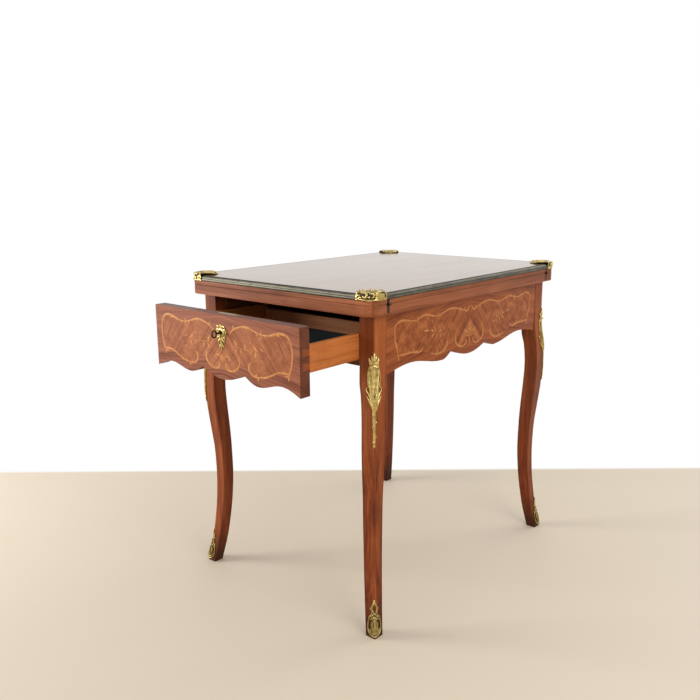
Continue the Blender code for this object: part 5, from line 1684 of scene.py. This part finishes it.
@dataclass
class Marquetry:
    """Scrolled ribbons, sprays and figured fields let into the drawer front and the aprons."""

    finishes: Finishes
    ribbon_height: float = 0.09
    ribbon_swell: float = 1.5
    spray_swell: float = 1.25
    field_thickness: float = 0.10
    ribbon_steps: int = 5
    ribbon_sides: int = 1

    # Heights are above the floor in millimetres, and distances are from the panel's middle
    END_OUTLINE = (
        (0.0, 668.0), (14.0, 669.0), (27.0, 674.0), (36.0, 682.0), (54.0, 690.0), (78.0, 693.0),
        (100.0, 688.0),
        (121.0, 682.5), (143.0, 684.0), (164.0, 689.5), (183.0, 692.0), (198.0, 687.0), (205.5, 675.0),
        (208.0, 655.0), (206.0, 635.0), (201.0, 619.0), (197.0, 611.0), (184.0, 614.5), (170.0, 613.5),
        (146.0, 603.0), (124.0, 596.5), (102.0, 595.0), (88.0, 600.0), (76.0, 611.0), (64.0, 612.0),
        (53.0, 611.0),
        (45.0, 601.0), (30.0, 594.5), (14.0, 592.5), (0.0, 593.5),
    )
    END_RIBBONS = both(
        Stroke(((25.0, 671.0), (36.0, 682.0), (54.0, 690.0), (78.0, 693.0), (100.0, 688.0), (121.0, 682.5)),
               (0.5, 1.4, 1.3, 1.7, 1.3, 1.1)),
        Stroke(((119.0, 682.8), (143.0, 684.0), (164.0, 689.5), (183.0, 692.0), (198.0, 687.0),
                (205.5, 675.0)),
               (0.9, 1.3, 2.0, 1.9, 1.5, 1.2)),
        Stroke(((204.6, 678.0), (208.0, 655.0), (206.0, 635.0), (201.0, 619.0), (196.0, 606.0)),
               (1.0, 1.5, 1.2, 1.6, 0.5)),
        Stroke(((202.0, 615.0), (186.0, 615.0), (170.0, 613.5), (146.0, 603.0), (126.0, 596.0),
                (112.0, 594.4)),
               (0.6, 1.7, 1.3, 1.2, 1.6, 0.5)),
        Stroke(((122.0, 597.6), (106.0, 593.8), (91.0, 597.0), (83.0, 606.0), (84.0, 617.0), (89.0, 622.5)),
               (0.5, 1.2, 1.4, 1.6, 1.7, 0.7)),
        Stroke(((51.0, 627.0), (53.4, 614.0), (45.0, 601.0), (30.0, 594.5), (15.0, 596.0), (10.0, 604.0),
                (15.0, 608.0)),
               (0.9, 1.7, 1.6, 1.5, 1.6, 1.4, 0.7)),
        Stroke(((3.0, 613.0), (8.0, 622.0), (17.0, 624.5), (22.0, 619.0), (17.5, 614.5)),
               (0.5, 1.2, 1.4, 1.2, 0.6)),
        Stroke(((3.0, 632.0), (2.0, 622.0), (0.6, 612.0)), (0.5, 1.1, 0.4)),
    )
    END_LEAVES = both(
        leaf(121.0, 682.0, 88.0, 9.0, 1.4), leaf(121.0, 682.0, -80.0, 9.0, 1.5),
        leaf(113.0, 683.0, 205.0, 8.0, 1.2),
        leaf(76.0, 693.0, -60.0, 8.0, 1.2, -0.2), leaf(40.0, 684.0, 100.0, 10.0, 1.5, 0.2),
        leaf(34.0, 680.0, 60.0, 9.0, 1.2),
        leaf(30.0, 676.0, 150.0, 7.0, 1.1), leaf(166.0, 689.0, -20.0, 10.0, 1.6),
        leaf(196.0, 608.0, -70.0, 8.0, 1.4),
        leaf(196.0, 611.0, 200.0, 10.0, 1.4), leaf(207.0, 640.0, 250.0, 8.0, 1.3),
        leaf(112.0, 594.0, 240.0, 9.0, 1.4),
        leaf(100.0, 596.0, 20.0, 9.0, 1.2),
    )
    END_SPRAYS = both(
        Stroke(((26.0, 645.0), (48.0, 648.0), (78.0, 646.5), (112.0, 647.0)), (0.3, 0.7, 0.7, 0.4)),
        Stroke(((60.0, 648.0), (70.0, 655.0), (84.0, 660.0)), (0.4, 0.6, 0.3)),
        Stroke(((96.0, 647.0), (108.0, 641.0), (120.0, 632.0)), (0.4, 0.6, 0.3)),
        leaf(110.0, 646.5, 150.0, 20.0, 2.4, -0.2), leaf(104.0, 646.0, -100.0, 14.0, 2.3),
        leaf(70.0, 647.0, 70.0, 12.0, 1.8),
        leaf(46.0, 648.0, 118.0, 19.0, 2.2, -0.1), leaf(44.0, 647.0, 70.0, 14.0, 1.8),
        leaf(48.0, 646.0, -120.0, 15.0, 2.4),
        leaf(58.0, 646.0, -70.0, 12.0, 2.0), leaf(84.0, 660.0, 40.0, 10.0, 1.6),
        leaf(86.0, 646.0, -60.0, 11.0, 1.7),
        leaf(120.0, 632.0, -40.0, 10.0, 1.6), leaf(128.0, 650.0, 160.0, 13.0, 1.6),
    )
    END_SMOKED = both(
        Stroke(((167.0, 684.0), (172.0, 672.0), (178.0, 660.0), (186.0, 646.0), (187.0, 636.0)),
               (0.4, 1.0, 1.2, 0.9, 0.3)),
        Stroke(((170.0, 676.0), (160.0, 664.0), (156.0, 650.0)), (0.2, 0.5, 0.2)),
    )
    SIDE_OUTLINE = (
        (0.0, 678.0), (10.0, 680.0), (26.0, 681.0), (42.0, 687.0), (64.0, 692.0), (88.0, 693.0),
        (108.0, 689.0),
        (132.0, 683.0), (150.0, 685.0), (172.0, 691.0), (192.0, 691.0), (210.0, 684.5), (232.0, 685.0),
        (255.0, 690.0),
        (275.0, 690.0), (289.0, 683.0), (292.5, 660.0), (286.0, 635.0), (280.0, 615.0), (262.0, 616.5),
        (235.0, 616.5),
        (212.0, 613.5), (190.0, 610.0), (160.0, 602.0), (130.0, 596.5), (106.0, 601.5), (90.0, 611.0),
        (74.0, 612.0),
        (60.0, 613.0), (50.0, 603.0), (32.0, 596.5), (14.0, 595.0), (0.0, 595.0),
    )
    SIDE_RIBBONS = both(
        Stroke(((3.0, 692.0), (7.0, 687.0), (12.0, 681.0), (20.0, 680.0), (25.0, 685.0), (21.0, 690.0)),
               (0.5, 1.2, 1.6, 1.6, 1.3, 0.6)),
        Stroke(((22.0, 681.0), (42.0, 687.0), (64.0, 692.0), (88.0, 693.0), (108.0, 689.0), (132.0, 683.0)),
               (0.5, 1.5, 1.6, 1.7, 1.3, 1.1)),
        Stroke(((129.0, 683.6), (150.0, 685.0), (172.0, 691.0), (192.0, 691.0), (211.0, 684.5)),
               (0.7, 1.3, 1.7, 1.6, 1.0)),
        Stroke(((208.0, 685.4), (232.0, 685.0), (255.0, 690.0), (275.0, 690.0), (289.0, 683.0),
                (292.5, 664.0)),
               (0.7, 1.2, 1.5, 1.7, 1.5, 1.1)),
        Stroke(((292.0, 668.0), (291.0, 650.0), (285.0, 634.0), (279.0, 612.0)), (0.8, 1.6, 1.5, 0.5)),
        Stroke(((284.0, 617.0), (262.0, 616.5), (235.0, 616.5), (212.0, 613.5), (197.0, 614.0),
                (189.0, 622.0)),
               (0.6, 1.6, 1.4, 1.6, 1.5, 0.6)),
        Stroke(((162.0, 603.0), (146.0, 598.0), (130.0, 596.5), (106.0, 601.5), (96.0, 611.0),
                (95.0, 622.0)),
               (0.4, 1.3, 1.5, 1.7, 1.7, 0.7)),
        Stroke(((58.0, 631.0), (61.0, 617.0), (51.0, 603.0), (33.0, 597.0), (19.0, 600.0), (15.0, 608.0),
                (20.0, 612.0)),
               (0.8, 1.7, 1.6, 1.5, 1.6, 1.3, 0.6)),
    )
    SIDE_LEAVES = both(
        leaf(64.0, 692.0, -75.0, 9.0, 1.3), leaf(132.0, 683.0, 85.0, 9.0, 1.4),
        leaf(132.0, 683.0, -85.0, 9.0, 1.4),
        leaf(210.0, 685.0, 80.0, 10.0, 1.5), leaf(210.0, 684.0, -95.0, 9.0, 1.4),
        leaf(172.0, 691.0, -60.0, 8.0, 1.2),
        leaf(280.0, 614.0, -110.0, 10.0, 1.6), leaf(276.0, 616.0, 160.0, 11.0, 1.5),
        leaf(240.0, 616.0, 60.0, 8.0, 1.2),
        leaf(226.0, 616.0, 120.0, 8.0, 1.2), leaf(212.0, 613.0, 50.0, 9.0, 1.4),
        leaf(140.0, 597.0, 130.0, 8.0, 1.3),
        leaf(256.0, 690.0, -70.0, 8.0, 1.2), leaf(44.0, 688.0, -60.0, 8.0, 1.2),
        leaf(289.0, 640.0, 110.0, 9.0, 1.3),
    )
    SIDE_SPRAYS = (
        Stroke(((0.0, 598.0), (0.0, 614.0), (0.0, 630.0)), (0.7, 1.1, 0.8)),
        leaf(0.0, 628.0, 90.0, 24.0, 2.8), leaf(0.0, 600.0, 90.0, 12.0, 1.4),
        *both(
            leaf(0.6, 628.0, 58.0, 15.0, 2.2, -0.15), leaf(0.8, 624.0, 14.0, 24.0, 2.4, 0.22),
            leaf(1.0, 620.0, -18.0, 16.0, 2.0, 0.35),
            leaf(22.0, 628.0, 70.0, 10.0, 1.4),
            Stroke(((118.0, 640.0), (134.0, 648.0), (150.0, 650.0), (168.0, 655.0)), (0.3, 0.7, 0.7, 0.3)),
            leaf(134.0, 648.0, 100.0, 17.0, 2.4, 0.1), leaf(140.0, 649.0, 62.0, 18.0, 2.4, -0.1),
            leaf(148.0, 650.0, 24.0, 15.0, 2.2),
            leaf(132.0, 646.0, 160.0, 16.0, 2.2), leaf(136.0, 647.0, -70.0, 15.0, 2.3),
            leaf(146.0, 648.0, -40.0, 17.0, 2.3),
            leaf(126.0, 643.0, -110.0, 12.0, 2.0), leaf(168.0, 655.0, 6.0, 22.0, 2.6),
            leaf(118.0, 640.0, 200.0, 12.0, 1.8),
            Stroke(((110.0, 604.0), (116.0, 616.0), (128.0, 628.0)), (0.4, 0.9, 0.4)),
            Stroke(((120.0, 602.0), (124.0, 612.0), (134.0, 622.0)), (0.4, 0.8, 0.3)),
        ),
    )

    def build(self) -> None:
        """Lay the marquetry of the four panels."""
        end_inlay = self.drawn(self.END_RIBBONS, self.END_LEAVES, self.END_SPRAYS)
        side_inlay = self.drawn(self.SIDE_RIBBONS, self.SIDE_LEAVES, self.SIDE_SPRAYS)
        ends = (self.END_OUTLINE, end_inlay, self.END_SMOKED)
        sides = (self.SIDE_OUTLINE, side_inlay, ())
        self.panel(Face.DRAWER, "drawer", Body.DRAWER, "end_field", *ends)
        self.panel(Face.BACK, "back", Body.FRAME, "end_field", *ends)
        self.panel(Face.RIGHT, "right", Body.FRAME, "side_field", *sides)
        self.panel(Face.LEFT, "left", Body.FRAME, "side_field", *sides)

    def drawn(self, ribbons: Sequence[Stroke], leaves: Sequence[Stroke],
              sprays: Sequence[Stroke]) -> list[Stroke]:
        """The pale strokes of one panel at their full widths.

        Args:
            ribbons: scrolled borders.
            leaves: leaves on the ribbons.
            sprays: sprays inside the field.

        Returns:
            All the strokes.
        """
        bold = [stroke.widened(self.ribbon_swell) for stroke in (*ribbons, *leaves)]
        return bold + [stroke.widened(self.spray_swell) for stroke in sprays]

    def panel(self, face: Face, name: str, body: Body, field_finish: str, outline: Sequence[Point],
              inlay: Sequence[Stroke], smoked: Sequence[Stroke]) -> None:
        """Lay the field and the inlays of one panel.

        Args:
            face: where the panel is.
            name: the panel's name.
            body: the body that it rides on.
            field_finish: the field's material.
            outline: right half of the field's outline, from its top to its foot.
            inlay: strokes of pale wood.
            smoked: strokes of smoked wood.
        """
        wrap = self.on_face(face)
        whole = [*outline, *((-u, v) for u, v in reversed(outline[1:-1]))]
        cut = Sheet.field(f"{name}_field", whole, self.field_thickness)
        Sheet.lay(cut, wrap)
        settle(cut, self.finishes.get(field_finish), body, Slot.VENEER)
        pale = "honey_inlay" if field_finish == "end_field" else "amber_inlay"
        for strokes, finish, kind in ((inlay, pale, "ribbons"), (smoked, "smoked_inlay", "shading")):
            if strokes:
                piece = Sheet.tubes(f"{name}_{kind}", strokes, self.ribbon_height,
                                    self.ribbon_steps, self.ribbon_sides)
                Sheet.lay(piece, wrap)
                settle(piece, self.finishes.get(finish), body, Slot.VENEER)

    def on_face(self, face: Face) -> Wrap:
        """The way from a flat sheet onto a panel's face.

        Args:
            face: where the panel is.

        Returns:
            A function of flat points in millimetres.
        """
        node, run, out, sign = face.value
        low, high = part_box(node)
        middle = (low[run] + high[run]) / 2
        surface = high[out] if sign > 0 else low[out]

        def wrap(points: np.ndarray) -> np.ndarray:
            """Stand flat points on the panel."""
            across, up, lift = points.T * MM
            placed = np.empty_like(points)
            placed[:, run] = middle + across
            placed[:, out] = surface + sign * lift
            placed[:, 2] = up
            return placed

        return wrap


# Studio


@dataclass(frozen=True)
class Lamp:
    """A soft square lamp: its place, what it points at, its side in metres and its power in watts."""

    name: str
    place: tuple[float, float, float]
    target: tuple[float, float, float]
    size: float
    power: float

    def build(self, colour: Colour) -> None:
        """Add the lamp with a colour of light."""
        data = bpy.data.lights.new(self.name, "AREA")
        data.size = self.size
        data.energy = self.power
        data.color = colour
        lamp = bpy.data.objects.new(self.name, data)
        bpy.context.scene.collection.objects.link(lamp)
        lamp.location = self.place
        lamp.rotation_mode = "QUATERNION"
        lamp.rotation_quaternion = (Vector(self.target) - Vector(self.place)).to_track_quat("-Z", "Y")


@dataclass
class Studio:
    """Camera, lamps, white surroundings and a pale floor."""

    eye: tuple[float, float, float] = (1.2358, -1.46605, 0.9826)
    yaw: float = 40.997
    pitch: float = 12.455
    roll: float = -0.35
    focal_pixels: float = 770.71
    frame_pixels: float = 700.0
    sensor: float = 36.0
    ambient: float = 0.57
    floor_colour: Colour = (0.76, 0.67, 0.54)
    floor_end: Point = (0.590, 0.612)
    floor_size: float = 14.0
    floor_roughness: float = 0.6
    floor_mottle: float = 0.25
    floor_shade: float = 0.9
    room_colour: Colour = (1.0, 0.985, 0.96)
    lamp_colour: Colour = (1.0, 0.985, 0.955)

    WHITE = (1.0, 1.0, 1.0)
    FLOOR_CLOUD = (3.0, 3.0, 0.0)
    LAMPS = (
        Lamp("window_lamp", (-2.3, -2.0, 1.05), (0.0, 0.0, 0.50), 1.1, 60.0),
        Lamp("room_lamp", (2.6, -0.7, 1.7), (0.0, 0.0, 0.5), 1.8, 29.0),
        Lamp("back_lamp", (0.8, 2.8, 2.2), (0.0, 0.0, 0.6), 2.2, 26.0),
    )

    def build(self) -> None:
        """Set up the camera, the light and the floor."""
        self.place_camera()
        self.light_world()
        for lamp in self.LAMPS:
            lamp.build(self.lamp_colour)
        self.lay_floor()
        bpy.context.scene.view_settings.view_transform = "Standard"

    def place_camera(self) -> None:
        """Put the camera where the photograph was taken."""
        yaw, pitch, roll = (math.radians(angle) for angle in (self.yaw, self.pitch, self.roll))
        level = Vector((-math.sin(yaw), math.cos(yaw), 0))
        side = Vector((math.cos(yaw), math.sin(yaw), 0))
        up = Vector((0, 0, 1))
        ahead = level * math.cos(pitch) - up * math.sin(pitch)
        crown = up * math.cos(pitch) + level * math.sin(pitch)
        right = side * math.cos(roll) + crown * math.sin(roll)
        top = -side * math.sin(roll) + crown * math.cos(roll)
        data = bpy.data.cameras.new("photo_camera")
        data.sensor_width = self.sensor
        data.lens = self.focal_pixels * self.sensor / self.frame_pixels
        camera = bpy.data.objects.new("photo_camera", data)
        bpy.context.scene.collection.objects.link(camera)
        turn = Matrix((right, top, -ahead)).transposed()
        camera.matrix_world = Matrix.Translation(self.eye) @ turn.to_4x4()
        bpy.context.scene.camera = camera

    def light_world(self) -> None:
        """White surroundings for the camera and for reflections, and an even ambient light."""
        graph = Graph(bpy.data.worlds.new("white_room"))
        bpy.context.scene.world = graph.owner
        path = graph.node("ShaderNodeLightPath", output="Is Camera Ray")
        seen = path.maths("MAXIMUM", path.other("Is Glossy Ray"))
        clear = seen.maths("MAXIMUM", path.other("Is Transmission Ray"))
        even = {"Color": self.room_colour, "Strength": self.ambient}
        room = graph.node("ShaderNodeBackground", inputs=even)
        white = graph.node("ShaderNodeBackground", inputs={"Color": self.WHITE, "Strength": 1.0})
        pick = graph.node("ShaderNodeMixShader", inputs={0: clear, 1: room, 2: white})
        graph.close(pick, "ShaderNodeOutputWorld")

    def lay_floor(self) -> None:
        """A plain pale floor that ends where the white background begins behind the table."""
        bpy.ops.object.select_all(action="DESELECT")
        bpy.ops.mesh.primitive_plane_add(size=self.floor_size, location=(0, 0, 0))
        floor = bpy.context.object
        floor.name = "studio_floor"
        graph = Graph.material("pale_floor")
        x, y, z = graph.place()
        yaw = math.radians(self.yaw)
        away = y * math.cos(yaw) - x * math.sin(yaw)
        cloud = graph.noise((x, y, z), self.FLOOR_CLOUD, 3.0)
        shade = tuple(part * self.floor_shade for part in self.floor_colour)
        colour = graph.mix(cloud * self.floor_mottle, self.floor_colour, shade)
        matt = graph.node("ShaderNodeBsdfPrincipled", inputs={"Base Color": colour,
                                                              "Roughness": self.floor_roughness})
        glow = graph.node("ShaderNodeEmission", inputs={"Color": self.WHITE, "Strength": 1.0})
        path = graph.node("ShaderNodeLightPath", output="Is Camera Ray")
        seen = path.maths("MAXIMUM", path.other("Is Glossy Ray"))
        far = graph.ease(away, *self.floor_end) * seen
        picked = graph.node("ShaderNodeMixShader", inputs={0: far, 1: matt, 2: glow})
        graph.close(picked, "ShaderNodeOutputMaterial")
        floor.data.materials.append(graph.owner)


def main() -> None:
    """Build the table's dress in order."""
    logging.basicConfig(level=logging.INFO, format="%(name)s: %(message)s")
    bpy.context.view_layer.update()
    finishes = Finishes()
    for assembly in (Studio(), Carcase(finishes), LegMounts(finishes), FoldTop(finishes), Drawer(finishes),
                     Cloths(finishes), Marquetry(finishes)):
        LOG.info("building %s", type(assembly).__name__)
        assembly.build()


if __name__ == "__main__":
    main()
